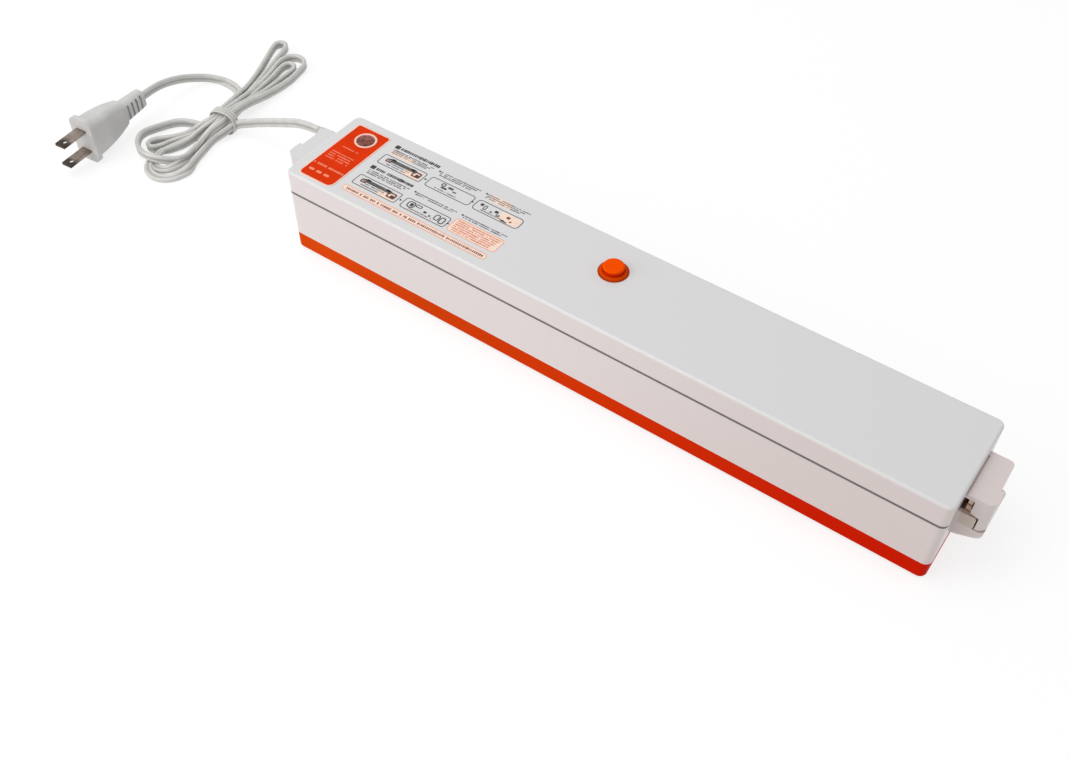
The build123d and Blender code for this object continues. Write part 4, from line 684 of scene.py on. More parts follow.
# ------------------------------------------------------------------ stage
CAMERA_PLACE = (0.18904, -0.33179, 0.42161)
CAMERA_RIGHT = (0.81537479, 0.57886227, 0.00907901)
CAMERA_UP = (-0.44132997, 0.61134675, 0.65687366)
CAMERA_BACK = (0.37468895, -0.53960506, 0.753946)
SENSOR_WIDTH = 36.0
FLOOR_CELLS = 4
WHITE = (1.0, 1.0, 1.0, 1.0)
FLOOR_COLOUR = (0.84, 0.84, 0.84)
FLOOR_GLOW = 0.78
FLOOR_VEIL = (0.24, 0.24, 0.24, 1.0)
SKY_LIGHT = 0.6

# Name, place, side, power and colour of each lamp.
LAMPS = (
    ("key_lamp", (-0.5, -0.3, 1.5), 1.0, 8.0, (1.0, 1.0, 1.0)),
    ("fill_lamp", (-0.8, -1.0, 0.6), 1.0, 6.0, (1.0, 0.92, 0.9)),
)


def seen_share(graph):
    """1 for rays that show the background itself, 0 for the light it gives."""
    rays = graph.nodes.new("ShaderNodeLightPath").outputs
    camera, glossy, through = (
        Signal(graph, rays[f"Is {kind} Ray"]) for kind in ("Camera", "Glossy", "Transmission")
    )
    return graph.node("ShaderNodeMath", {"use_clamp": True}, {0: glossy + through, 1: camera})


def floor_finish():
    """A plain floor that shows white and keeps a soft shadow."""
    finish = Finish("white_floor", FLOOR_COLOUR, 0.9, specular=0.0)
    plain = Signal(finish, finish.nodes["Principled BSDF"].outputs[0])
    glow = finish.node("ShaderNodeEmission", values={"Color": WHITE, "Strength": FLOOR_GLOW})
    veil = finish.node("ShaderNodeBsdfDiffuse", values={"Color": FLOOR_VEIL})
    shown = finish.node("ShaderNodeAddShader", values={0: glow, 1: veil})
    blend = finish.node("ShaderNodeMixShader", values={0: seen_share(finish), 1: plain, 2: shown})
    finish.fill(finish.nodes["Material Output"].inputs["Surface"], blend)
    return finish.material


def lamp(name, place, size, power, colour):
    """A square soft lamp aimed at the middle of the machine."""
    data = bpy.data.lights.new(name, "AREA")
    data.energy = power
    data.size = size
    data.color = colour
    light = new_object(name, data)
    light.location = place
    light.rotation_euler = (-Vector(place)).to_track_quat("-Z", "Y").to_euler()


class SEALER_OT_stage(bpy.types.Operator):
    """Sets the floor, the soft lamps, the sky and the camera"""

    bl_idname = "sealer.stage"
    bl_label = "Stage"

    def execute(self, context):
        sizes = context.scene.sealer_stage
        shape = bmesh.new()
        half = sizes.floor_size / 2
        bmesh.ops.create_grid(shape, x_segments=FLOOR_CELLS, y_segments=FLOOR_CELLS, size=half)
        mesh = bpy.data.meshes.new("floor")
        shape.to_mesh(mesh)
        shape.free()
        mesh.materials.append(floor_finish())
        floor = new_object("floor", mesh)

        world = bpy.data.worlds.new("studio")
        world.use_nodes = True
        context.scene.world = world
        sky = Graph(world.node_tree)
        background = sky.nodes["Background"].inputs
        levels = {"Value": seen_share(sky), "To Min": SKY_LIGHT, "To Max": 1.0}
        sky.fill(background["Color"], WHITE)
        sky.fill(background["Strength"], sky.node("ShaderNodeMapRange", values=levels))
        for settings in LAMPS:
            lamp(*settings)

        data = bpy.data.cameras.new("camera")
        data.lens = sizes.focal_length
        data.sensor_width = SENSOR_WIDTH
        camera = new_object("camera", data)
        rotation = Matrix((CAMERA_RIGHT, CAMERA_UP, CAMERA_BACK)).transposed()
        camera.matrix_world = Matrix.Translation(CAMERA_PLACE) @ rotation.to_4x4()
        context.scene.camera = camera
        context.scene.view_settings.view_transform = "Standard"
        return {"FINISHED"}


# ------------------------------------------------------------------ surfaces
# Heights of the ledge under the ears, the recess above it and the darker band on a lever, and of the
# lid's skirt with the painted shade of its seam.
LEDGE_Z = 27.9 * MM
RECESS_TOP = LEDGE_Z + 6.9 * MM
LEVER_BAND = (LEDGE_Z + 9.2 * MM, LEDGE_Z + 10.2 * MM)
LID_SKIRT_Z = DECK_TOP + 0.5 * MM
SEAM_SHADE = 0.45 * MM
SEAM_EDGE = 0.1 * MM

# How softly the painted cooler light on the left ear, the painted shade on the top, the painted shade in
# the recess and the darker band on a lever start, the height below which the button's side has painted
# shade, the browner rim of its bezel and the darker end of the blades.
EAR_FADE = 1.0 * MM
TOP_SHADE_HEIGHTS = (LID_TOP - 1.6 * MM, LID_TOP - 0.2 * MM)
RECESS_START = BODY_RIGHT + 0.4 * MM
RECESS_SOFT = 0.3 * MM
RECESS_FADE = 1.2 * MM
LEVER_BAND_SOFT = 0.4 * MM
SIDE_SHADE_HEIGHTS = (BUTTON_TOP - 1.5 * MM, BUTTON_TOP - 0.5 * MM)
RIM_WIDTH = 1.3 * MM
BLADE_TIP_SPAN = (PIN_TIP + 3.0 * MM, PIN_TIP + 8.0 * MM)

# Factors that paint light and shade into the housing: painted shade on its farther walls, painted
# cooler light on its left ear, and a painted neutral tint and shade on its top.
FAR_WALL_SHADE = (0.915, 0.875, 0.86)
FAR_SHADE_START = -0.06
FAR_SHADE_END = 0.15
LEFT_EAR_PAINTED_LIGHT = (0.895, 0.97, 0.98)
TOP_PAINTED_TINT = (1.0, 1.07, 1.09)
TOP_PAINTED_SHADE = 0.93

# Painted shade in the seam between the lid and the base.
PAINTED_SEAM_SHADE = linear((104, 98, 97))
# Painted warmer shade in the recess under the ears.
RECESS_SHADE_COLOUR = linear((196, 180, 166))
# Painted shade that deepens the stripe towards its right end.
STRIPE_END_SHADE = linear((206, 27, 0))
RIM_COLOUR = linear((140, 44, 12))
# Painted shade on the side of the vent button.
BUTTON_SIDE_SHADE = linear((206, 40, 0))
BEZEL_TONE = 0.72
GREY_DECK = linear((198, 196, 194))
LATCH_PEACH = linear((255, 218, 192))
LEVER_BAND_COLOUR = linear((150, 84, 56))
LENS_COLOUR = linear((112, 60, 46))
COMPONENT_BLACK = linear((40, 40, 44))
PUMP_BLACK = linear((52, 52, 54))
BOARD_GREEN = linear((36, 96, 58))
CORE_BROWN = linear((92, 86, 80))
PLUG_GREY = linear((206, 206, 204))
BLADE_COLOUR = linear((158, 146, 136))
BLADE_TIP_COLOUR = linear((48, 40, 36))
TAPE_COLOUR = linear((186, 150, 104))

# Cells to the metre of the streaks that run along the machine and across it, the pitch of the
# tape's threads, and the board's tracks and the core's plates to the metre.
ALONG_X = (60.0, 2600.0, 2600.0)
ALONG_Y = (2600.0, 60.0, 2600.0)
THREAD_PITCH = 0.7 * MM
TRACKS_TO_METRE = 420.0
PLATES_TO_METRE = 1700.0

# Name, colour, roughness and pieces of each rubber.
RUBBERS = (
    ("gasket_rubber", (46, 46, 48), 0.72, ("lower_gasket", "upper_gasket", "vent_seal")),
    ("foot_rubber", (38, 38, 40), 0.72, ("rubber_feet",)),
    ("strip_rubber", (172, 168, 162), 0.6, ("seal_strip",)),
    ("hose_rubber", (196, 194, 186), 0.4, ("pump_hose",)),
)

SPRINGS = ("latch_spring_left", "latch_spring_right", "vent_spring")

# Name, colour, roughness, direction of the draw lines and pieces of each metal.
METALS = (
    ("bright_steel", (176, 176, 178), 0.32, ALONG_X, ("hinge_pins", "tray_screws", "liner_screws")),
    ("pin_steel", (176, 176, 178), 0.3, ALONG_Y, ("latch_pin_left", "latch_pin_right")),
    ("spring_steel", (204, 204, 208), 0.22, ALONG_Y, SPRINGS),
    ("heater_metal", (196, 196, 198), 0.4, ALONG_X, ("heater_bar",)),
    ("heating_wire", (150, 146, 140), 0.38, ALONG_X, ("heating_wire",)),
    ("terminal_brass", (196, 164, 96), 0.34, ALONG_X, ("heater_terminals",)),
    ("motor_steel", (152, 154, 158), 0.36, ALONG_X, ("pump_motor",)),
)


def shell_plastic(name, colour, seam_low, seam_high, recess=None):
    """Smooth glossy housing plastic, with light and shade painted into its colour: painted shade on the
    walls towards the right end, painted cooler light on the left ear, a painted neutral tint and shade
    on top, painted shade in its seam, and painted warmer shade in a recess given as its heights and
    where it starts."""
    finish = Finish(name, colour, 0.28, coat=0.2, specular=0.4)
    along = finish.axis(0)
    height = finish.axis(2)
    body = finish.tones(finish.noise(7.0).step(0.3, 0.7), colour, dark=0.985, light=1.01)
    # Painted shade on the walls, darker towards the right end.
    body = finish.mix(along.step(FAR_SHADE_START, FAR_SHADE_END), body, tint(colour, FAR_WALL_SHADE))
    # Painted cooler light on the left ear.
    painted_ear_light = (along * -1.0).step(BODY_RIGHT, BODY_RIGHT + EAR_FADE)
    body = finish.mix(painted_ear_light, body, tint(colour, LEFT_EAR_PAINTED_LIGHT))
    # Painted neutral tint and shade on the top.
    body = finish.mix(height.step(*TOP_SHADE_HEIGHTS), body, shade(tint(colour, TOP_PAINTED_TINT), TOP_PAINTED_SHADE))
    if recess:
        # Painted warmer shade in the recess under the ears.
        low, high, start = recess
        beyond = along.absolute().step(start, start + RECESS_FADE)
        recess_shade_mask = height.between(low, high, RECESS_SOFT) * beyond
        body = finish.mix(0.8 * recess_shade_mask, body, RECESS_SHADE_COLOUR)
    # Painted shade along the seam between the lid and the base.
    seam_shade_mask = height.between(seam_low, seam_high, SEAM_EDGE) * (along.absolute() < BODY_RIGHT + SEAM_EDGE)
    body = finish.mix(0.8 * seam_shade_mask, body, PAINTED_SEAM_SHADE)
    relief = finish.noise(60.0, 1.0)
    return finish.surface(body, 0.26 + 0.06 * finish.noise(40.0), relief, depth=0.02 * MM, strength=0.1)


def stripe_plastic(name, colour, rim=None, side_shade=None, end_shade=None):
    """Saturated plastic with a soft sheen, browner towards a rim given as (centre, start, end), with
    painted shade on its side below heights given as (start, end), and painted shade that deepens the
    colour towards the right end."""
    finish = Finish(name, colour, 0.34, specular=0.01)
    body = finish.tones(finish.noise(16.0).step(0.3, 0.7), colour, dark=0.92, light=1.05)
    # Painted shade that deepens the colour towards the right end.
    if end_shade:
        body = finish.mix(finish.axis(0).step(BODY_LEFT, BODY_RIGHT), body, end_shade)
    if rim:
        centre, start, end = rim
        across = (finish.axis(0) - centre[0]) ** 2
        away = (across + (finish.axis(1) - centre[1]) ** 2) ** 0.5
        body = finish.mix(0.75 * away.step(start, end), body, RIM_COLOUR)
    # Painted shade on the side below the top.
    if side_shade:
        body = finish.mix(1.0 - finish.axis(2).step(*side_shade), body, BUTTON_SIDE_SHADE)
    relief = finish.noise(260.0)
    return finish.surface(body, 0.3 + 0.1 * finish.noise(80.0), relief, depth=0.05 * MM, strength=0.25)


def grained_plastic(name, colour, roughness=0.5):
    """Matt plastic with a fine spark-eroded grain."""
    finish = Finish(name, colour, roughness)
    cloud = finish.noise(30.0, 3.0)
    body = finish.tones(cloud, colour, dark=0.88, light=1.08)
    grain = finish.cells(1100.0)
    return finish.surface(body, roughness - 0.06 + 0.12 * cloud, grain, depth=0.12 * MM, strength=0.3)


def latch_plastic(colour, low, high):
    """Peach coloured lever plastic with a darker band across it."""
    finish = Finish("latch_plastic", colour, 0.45)
    cloud = finish.noise(60.0, 3.0)
    dark_band = finish.axis(2).between(low, high, LEVER_BAND_SOFT)
    body = finish.mix(0.8 * dark_band, finish.tones(cloud, colour, dark=0.88, light=1.06), LEVER_BAND_COLOUR)
    return finish.surface(body, 0.4 + 0.12 * cloud, finish.noise(800.0), depth=0.06 * MM, strength=0.4)


def blade_metal(colour, tip_start, tip_end):
    """Plated plug blade, darker towards its tip."""
    finish = Finish("blade_plating", colour, 0.3, 0.9)
    lines = finish.streaks(ALONG_Y)
    smear = finish.noise(220.0, 3.0).step(0.35, 0.7)
    tip = 1.0 - finish.axis(1).step(tip_start, tip_end)
    body = finish.mix(0.9 * tip, finish.tones(smear, colour, dark=0.62, light=1.1), BLADE_TIP_COLOUR)
    return finish.surface(body, 0.24 + 0.16 * lines, lines, depth=0.04 * MM, strength=0.3)


def soft_rubber(name, colour, roughness):
    """Rubber with a dull bloom and scattered pores."""
    finish = Finish(name, colour, roughness)
    bloom = finish.noise(55.0, 4.0).step(0.35, 0.8)
    pores = finish.noise(1300.0, 1.0).step(0.6, 0.75)
    body = finish.tones(0.5 * bloom, colour, dark=1.0, light=1.5)
    return finish.surface(body, roughness - 0.1 * pores, pores, depth=0.08 * MM, strength=0.35)


def drawn_metal(name, colour, roughness, factors):
    """Metal with fine draw lines along one axis."""
    finish = Finish(name, colour, roughness, metallic=1.0)
    lines = finish.streaks(factors)
    body = finish.tones(finish.noise(40.0), colour, dark=0.86, light=1.08)
    return finish.surface(body, roughness - 0.08 + 0.16 * lines, lines, depth=0.04 * MM, strength=0.3)


def woven_tape(colour):
    """Coated glass cloth with a square weave and faint scorch marks."""
    finish = Finish("woven_tape", colour, 0.42, coat=0.1)
    weave = finish.axis(0).waves(THREAD_PITCH) * finish.axis(1).waves(THREAD_PITCH) * 0.5 + 0.5
    scorch = finish.noise(35.0, 3.0).step(0.45, 0.8)
    cloth = finish.tones(weave, colour, dark=0.7, light=1.12)
    body = finish.mix(0.35 * scorch, cloth, shade(colour, 0.45))
    return finish.surface(body, 0.38 + 0.1 * weave, weave, depth=0.12 * MM, strength=0.5)


def coated_board(colour):
    """Green solder mask with copper tracks showing under it."""
    finish = Finish("coated_board", colour, 0.3, coat=0.2)
    wander = finish.noise(14.0)
    tracks = (finish.axis(1) * TRACKS_TO_METRE + wander * 5.0).bars(0.3, 0.36)
    body = finish.tones(tracks, colour, dark=1.0, light=1.7)
    return finish.surface(body, 0.26 + 0.1 * wander, tracks, depth=0.04 * MM, strength=0.5)


def laminated_core(colour):
    """Stacked steel plates around a varnished winding."""
    finish = Finish("laminated_core", colour, 0.42, metallic=0.6)
    plates = (finish.axis(2) * PLATES_TO_METRE).bars(0.3, 0.45)
    body = finish.tones(plates, colour, dark=0.55, light=1.25)
    return finish.surface(body, 0.36 + 0.14 * finish.noise(120.0), plates, depth=0.08 * MM, strength=0.5)


def clear_lens(colour):
    """Dark smoked lens with facets below its surface; the facets shape its roughness and bumps, and their
    sparkle is painted into its colour as bright glints.
    """
    finish = Finish("smoked_lens", colour, 0.2, coat=0.15, specular=0.2)
    facets = finish.node("ShaderNodeSeparateColor", values={0: finish.cells(760.0, "Color")})
    facet_relief_and_glints = facets.step(0.35, 0.95)
    # Painted glints: the facets lighten the colour.
    body = finish.tones(facet_relief_and_glints, colour, dark=0.75, light=1.9)
    return finish.surface(body, 0.16 + 0.1 * facet_relief_and_glints, facet_relief_and_glints, depth=0.1 * MM, strength=0.4)


def plug_plastic(colour):
    """Pale satin moulding with faint clouds."""
    finish = Finish("plug_moulding", colour, 0.36, coat=0.1)
    cloud = finish.noise(90.0, 3.0).step(0.3, 0.75)
    body = finish.tones(cloud, colour, dark=0.93, light=1.03)
    grain = finish.noise(800.0, 1.0)
    return finish.surface(body, 0.32 + 0.12 * finish.noise(300.0), grain, depth=0.08 * MM, strength=0.3)


def dress(material, *names):
    """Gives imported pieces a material."""
    for name in names:
        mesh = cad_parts[name].data
        mesh.materials.clear()
        mesh.materials.append(material)


class SEALER_OT_housing(bpy.types.Operator):
    """Finishes the lid, the housing, the tray and the moulded inner parts"""

    bl_idname = "sealer.housing"
    bl_label = "Housing"

    def execute(self, context):
        colours = context.scene.sealer_shell
        shell = tuple(colours.shell)
        orange = tuple(colours.button)
        recess = (LEDGE_Z, RECESS_TOP, RECESS_START)
        base = shell_plastic("base_plastic", shell, DECK_TOP - SEAM_SHADE, DECK_TOP + SEAM_EDGE, recess)
        lid = shell_plastic("lid_plastic", shell, LID_SKIRT_Z - SEAM_EDGE, LID_SKIRT_Z + SEAM_SHADE)
        stripe = stripe_plastic("stripe_plastic", tuple(colours.stripe), end_shade=STRIPE_END_SHADE)
        edge = (BEZEL_HIGH.x - BEZEL_LOW.x) / 2
        rim = ((BEZEL_LOW + BEZEL_HIGH) / 2, edge - RIM_WIDTH, edge)
        latch = latch_plastic(LATCH_PEACH, *LEVER_BAND)
        dress(base, "base_shell")
        dress(lid, "lid_shell")
        dress(stripe, "base_tray")
        dress(stripe_plastic("button_plastic", orange, side_shade=SIDE_SHADE_HEIGHTS), "vent_button")
        dress(stripe_plastic("bezel_plastic", shade(orange, BEZEL_TONE), rim), "vent_bezel")
        dress(grained_plastic("deck_plastic", GREY_DECK), "chamber_deck", "lid_liner", "motor_clamp")
        dress(latch, "latch_lever_left", "latch_lever_right")
        dress(latch, "switch_plunger_left", "switch_plunger_right")
        dress(clear_lens(LENS_COLOUR), "indicator_lens")
        return {"FINISHED"}


class SEALER_OT_seals(bpy.types.Operator):
    """Finishes the gaskets, the seal strip, the feet and the vent seal"""

    bl_idname = "sealer.seals"
    bl_label = "Seals and feet"

    def execute(self, context):
        for name, colour, roughness, pieces in RUBBERS:
            dress(soft_rubber(name, linear(colour), roughness), *pieces)
        return {"FINISHED"}


class SEALER_OT_metals(bpy.types.Operator):
    """Finishes the heater, the pins, the springs, the screws and the plug's blades"""

    bl_idname = "sealer.metals"
    bl_label = "Metal parts"

    def execute(self, context):
        for name, colour, roughness, factors, pieces in METALS:
            dress(drawn_metal(name, linear(colour), roughness, factors), *pieces)
        spring = bpy.data.objects["vent_spring"]
        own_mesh(spring)
        dress(blade_metal(BLADE_COLOUR, *BLADE_TIP_SPAN), "plug_pins")
        dress(woven_tape(TAPE_COLOUR), "heater_tape")
        return {"FINISHED"}


class SEALER_OT_electrics(bpy.types.Operator):
    """Finishes the circuit board and the units inside the housing"""

    bl_idname = "sealer.electrics"
    bl_label = "Inside units"

    def execute(self, context):
        black = grained_plastic("component_black", COMPONENT_BLACK, 0.46)
        dress(black, "board_capacitors", "board_relay", "lid_switch_left", "lid_switch_right")
        dress(grained_plastic("pump_plastic", PUMP_BLACK), "pump_head", "intake_nozzle")
        dress(coated_board(BOARD_GREEN), "circuit_board")
        dress(laminated_core(CORE_BROWN), "transformer")
        return {"FINISHED"}


class SEALER_OT_plug(bpy.types.Operator):
    """Finishes the plug and the strain relief"""

    bl_idname = "sealer.plug"
    bl_label = "Plug"

    def execute(self, context):
        dress(plug_plastic(PLUG_GREY), "plug_body")
        dress(plug_plastic(tuple(context.scene.sealer_cord.colour)), "strain_relief")
        return {"FINISHED"}


# ------------------------------------------------------------------ label
# Place of the label from the left end of the body and from the lid's middle line, its corner radii
# from the back right one on, and the sizes of its border, of the lens ring and of the hole in it.
LABEL_INSET = 16.2 * MM
LABEL_SHIFT = 1.2 * MM
LABEL_RADII = tuple(r * MM for r in (1.2, 1.0, 2.0, 3.0))
BORDER = 0.7 * MM
LENS_HOLE = 4.6 * MM
RING_RADII = (5.7 * MM, 4.7 * MM)
RING_RISE = 0.25 * MM
CIRCLE_STEPS = 48
SUNK = 0.05 * MM
CLEARANCE = 0.3 * MM
PALE_INK = linear((255, 206, 190))


def label_finish(colour):
    """Printed film, warm orange with a slight sheen."""
    finish = Finish("label_film", colour, 0.34, specular=0.03)
    cloud = finish.noise(70.0, 3.0).step(0.3, 0.75)
    body = finish.tones(cloud, colour, dark=0.93, light=1.05)
    relief = finish.noise(700.0, 1.0)
    return finish.surface(body, 0.3 + 0.1 * finish.noise(240.0), relief, depth=0.03 * MM, strength=0.3)


def ink_finish(name, colour):
    """Flat printed ink with a slightly uneven film."""
    finish = Finish(name, colour, 0.45)
    uneven = finish.noise(900.0)
    return finish.surface(finish.tones(uneven, colour, dark=0.85, light=1.15), 0.4 + 0.1 * uneven)


def ring_outline(centre, radius):
    """Points of a circle."""
    turns = (2 * math.pi * i / CIRCLE_STEPS for i in range(CIRCLE_STEPS))
    return [Vector(centre) + radius * Vector((math.cos(a), math.sin(a))) for a in turns]


def with_hole(mesh, cutter):
    """The mesh with the cutter's volume taken out."""
    block = new_object("cut_block", mesh)
    tool = new_object("cut_tool", cutter)
    modifier = block.modifiers.new("hole", "BOOLEAN")
    modifier.object = tool
    modifier.solver = "EXACT"
    result = solved_mesh(block)
    bpy.data.objects.remove(tool)
    return result


class SEALER_OT_label(bpy.types.Operator):
    """Lays the coloured label, its pale border and the ring round the indicator lens"""

    bl_idname = "sealer.label"
    bl_label = "Lid label"

    def execute(self, context):
        sizes = context.scene.sealer_label
        lens = ((LENS_LOW.x + LENS_HIGH.x) / 2, (LENS_LOW.y + LENS_HIGH.y) / 2)
        centre = (BODY_LEFT + LABEL_INSET, (LID_LOW.y + LID_HIGH.y) / 2 - LABEL_SHIFT)
        low = LID_TOP - SUNK
        top = LID_TOP + sizes.thickness
        inner = rounded_outline(centre, sizes.width, sizes.depth, LABEL_RADII)
        wider = [radius + BORDER for radius in LABEL_RADII]
        outer = rounded_outline(centre, sizes.width + 2 * BORDER, sizes.depth + 2 * BORDER, wider)
        film = bmesh.new()
        add_plate(film, inner, low, top)
        drill = bmesh.new()
        add_plate(drill, ring_outline(lens, LENS_HOLE), LID_TOP - CLEARANCE, top + CLEARANCE)
        label = with_hole(mesh_from_bmesh(film, "lid_label"), mesh_from_bmesh(drill, "lens_hole"))
        colour = label_finish(tuple(sizes.colour))
        piece_from_mesh(label, "lid_label", colour, "lid", smooth=False)
        shape = bmesh.new()
        add_band(shape, outer, inner, low, top)
        ring = [ring_outline(lens, radius) for radius in RING_RADII]
        add_band(shape, *ring, top - SUNK, top + RING_RISE)
        border = mesh_from_bmesh(shape, "label_border")
        piece_from_mesh(border, "label_border", ink_finish("pale_ink", PALE_INK), "lid")
        return {"FINISHED"}


# ------------------------------------------------------------------ printed guide marks
# The mark tree's own sizes, which each row of marks replaces, and the smallest and the largest share
# of its size that a mark takes.
MARK_SIZES = {"Pitch": 0.9 * MM, "Mark Width": 0.6 * MM, "Mark Height": 0.8 * MM, "Ink": 0.05 * MM}
WORD_GAPS = 0.2
SMALLEST_MARK = (0.55, 0.7, 1.0)
WHOLE_MARK = (1.0, 1.0, 1.0)


def mark_tree():
    """Geometry Nodes that turn lines into rows of short printed marks, broken into words."""
    tree = bpy.data.node_groups.new("printed_marks", "GeometryNodeTree")
    face = tree.interface
    face.new_socket("Lines", in_out="INPUT", socket_type="NodeSocketGeometry")
    for name, value in MARK_SIZES.items():
        socket = face.new_socket(name, in_out="INPUT", socket_type="NodeSocketFloat")
        socket.default_value = value
        socket.subtype = "DISTANCE"
    face.new_socket("Word Gaps", in_out="INPUT", socket_type="NodeSocketFloat").default_value = WORD_GAPS
    face.new_socket("Seed", in_out="INPUT", socket_type="NodeSocketInt").default_value = 1
    face.new_socket("Material", in_out="INPUT", socket_type="NodeSocketMaterial")
    face.new_socket("Marks", in_out="OUTPUT", socket_type="NodeSocketGeometry")

    graph = Graph(tree)
    group = graph.nodes.new("NodeGroupInput")
    given = {socket.name: Signal(graph, socket) for socket in group.outputs}
    curve = graph.node("GeometryNodeMeshToCurve", values={"Mesh": given["Lines"]})
    rows = {"Curve": curve, "Length": given["Pitch"]}
    dots = graph.node("GeometryNodeResampleCurve", {"mode": "LENGTH"}, rows)
    places = graph.node("GeometryNodeCurveToPoints", {"mode": "EVALUATED"}, {"Curve": dots}, "Points")
    odds = {"Probability": given["Word Gaps"], "Seed": given["Seed"]}
    gaps = graph.node("FunctionNodeRandomValue", {"data_type": "BOOLEAN"}, odds, output=3)
    dropped = {"Geometry": places, "Selection": gaps}
    words = graph.node("GeometryNodeDeleteGeometry", {"domain": "POINT"}, dropped)
    sides = {"X": given["Mark Width"], "Y": given["Mark Height"], "Z": given["Ink"]}
    size = graph.node("ShaderNodeCombineXYZ", values=sides)
    block = graph.node("GeometryNodeMeshCube", values={"Size": size})
    spread = {0: SMALLEST_MARK, 1: WHOLE_MARK, "Seed": given["Seed"]}
    wobble = graph.node("FunctionNodeRandomValue", {"data_type": "FLOAT_VECTOR"}, spread)
    stamps = {"Points": words, "Instance": block, "Scale": wobble}
    stamped = graph.node("GeometryNodeInstanceOnPoints", values=stamps)
    real = graph.node("GeometryNodeRealizeInstances", values={"Geometry": stamped})
    inking = {"Geometry": real, "Material": given["Material"]}
    inked = graph.node("GeometryNodeSetMaterial", values=inking)
    graph.node("NodeGroupOutput", values={"Marks": inked})
    return tree


def marks_mesh(tree, lines, settings):
    """Runs the mark tree over line segments and returns its plain mesh."""
    base = bpy.data.meshes.new("mark_lines")
    corners = [end for line in lines for end in line]
    base.from_pydata(corners, [(i, i + 1) for i in range(0, len(corners), 2)], [])
    holder = new_object("mark_lines", base)
    modifier = holder.modifiers.new("marks", "NODES")
    modifier.node_group = tree
    for item in tree.interface.items_tree:
        if item.in_out == "INPUT" and item.name in settings:
            modifier[item.identifier] = settings[item.name]
    return solved_mesh(holder)


# Guide panel, in millimetres from the left end of the body and from the lid's middle line. Its
# upper row holds three picture boxes and its lower row two, with a warm frame in the third place.
PANEL_LEFT = 31.5
ROW_TOPS = (19.0, 0.3)
BOX_STARTS = (0.0, 29.2, 57.4)
BOX_WIDTH = 26.4
BOX_DEPTH = 7.6
BOX_DROP = 11.4
BOX_RADII = (1.2, 1.7, 2.2)
HEADING_INDENT = 4.2
HEADING_WIDTHS = (23.0, 21.5)
HEADING_DROP = 0.4
HEADING_BLOCK = (2.7, 2.5)
BOXES_IN_ROW = (3, 2)
NOTE_LINES = (3, 2)
NOTE_DROP = 2.7
BULLET_INDENT = 0.4
BULLET = (1.0, 1.0)
ARROW_SIZE = 1.4
TEXT_INDENT = 1.6
STRIP_Y = -19.2
STRIP_LENGTH = 80.0
PRINT_LOW = LID_TOP - 0.02 * MM

# Widths of the printed outlines, steps round a corner of an outline and of a filled mark, and the
# smallest radius inside an outline.
BOX_LINE = 0.42
WARM_LINE = 0.3
OUTLINE_STEPS = 5
FILLED_STEPS = 3
SMALLEST_RADIUS = 0.05

# Shares of the ink's thickness for the layers that lie under or beside the black one.
PATCH_INK = 0.3
FRAME_INK = 0.4
BROWN_INK = 0.8

# Place, size and corner radius of the plain dashes on the label.
DASH_STARTS = (-21.6, -17.0, -12.4)
DASH_Y = -18.4
DASH_SIZE = (3.2, 1.5)
DASH_RADIUS = 0.6


def panel_point(x, y):
    """A point of the guide panel in the machine's frame."""
    return Vector((BODY_LEFT + (PANEL_LEFT + x) * MM, y * MM))


def text_line(x, y, length, height=0.0):
    """Ends of one printed line on the lid."""
    start, end = panel_point(x, y), panel_point(x + length, y)
    return ((*start, LID_TOP + height), (*end, LID_TOP + height))


def text_block(x, y, count, pitch, length, shorter=0.0, height=0.0):
    """Ends of the lines of one paragraph, each of them a little shorter than the one before."""
    return [text_line(x, y - pitch * step, length - shorter * step, height) for step in range(count)]


def guide_lines():
    """Where the bold headings, the small lines and the warm lines run."""
    bold, small = [], []
    for top, heading, boxes, notes in zip(ROW_TOPS, HEADING_WIDTHS, BOXES_IN_ROW, NOTE_LINES):
        bold.append(text_line(HEADING_INDENT, top - HEADING_DROP, heading))
        small += text_block(TEXT_INDENT, top - 2.9, count=3, pitch=1.15, length=24.0, shorter=1.5)
        for left in BOX_STARTS[1:]:
            start = left + TEXT_INDENT
            small += text_block(start, top - NOTE_DROP, notes, pitch=1.2, length=24.0, shorter=2.5)
        small += [text_line(left + 5.0, top - 13.6, 13.0) for left in BOX_STARTS[:boxes]]
        small.append(text_line(BOX_STARTS[0] + 7.0, top - 12.2, 11.0))
    start = BOX_STARTS[2] + TEXT_INDENT
    return bold, small, text_block(start, -6.6, count=6, pitch=1.35, length=23.8, shorter=0.5)


def guide_frames():
    """Outlines of the picture boxes, as place, width, depth and corner radius."""
    return [
        (left + BOX_WIDTH / 2, top - BOX_DROP, BOX_WIDTH, BOX_DEPTH, radius)
        for top, count in zip(ROW_TOPS, BOXES_IN_ROW)
        for left, radius in zip(BOX_STARTS[:count], BOX_RADII)
    ]


# Warm frames round the notes: the one in the third place and the strip below both rows.
WARM_FRAMES = (
    (BOX_STARTS[2] + 13.4, -10.0, 27.6, 9.6, 1.8),
    (41.4, STRIP_Y, 84.6, 3.9, 1.4),
)


def add_mark(shape, x, y, width, depth, thickness, radius=0.2, line=None):
    """A printed box with round corners, filled, or drawn with a line of the given width."""
    centre = panel_point(x, y)
    steps = OUTLINE_STEPS if line else FILLED_STEPS
    outer = rounded_outline(centre, width * MM, depth * MM, [radius * MM] * 4, steps)
    if line:
        inside = [max(radius - line, SMALLEST_RADIUS) * MM] * 4
        inner = rounded_outline(centre, (width - 2 * line) * MM, (depth - 2 * line) * MM, inside, steps)
        add_band(shape, outer, inner, PRINT_LOW, LID_TOP + thickness)
    else:
        add_plate(shape, outer, PRINT_LOW, LID_TOP + thickness)


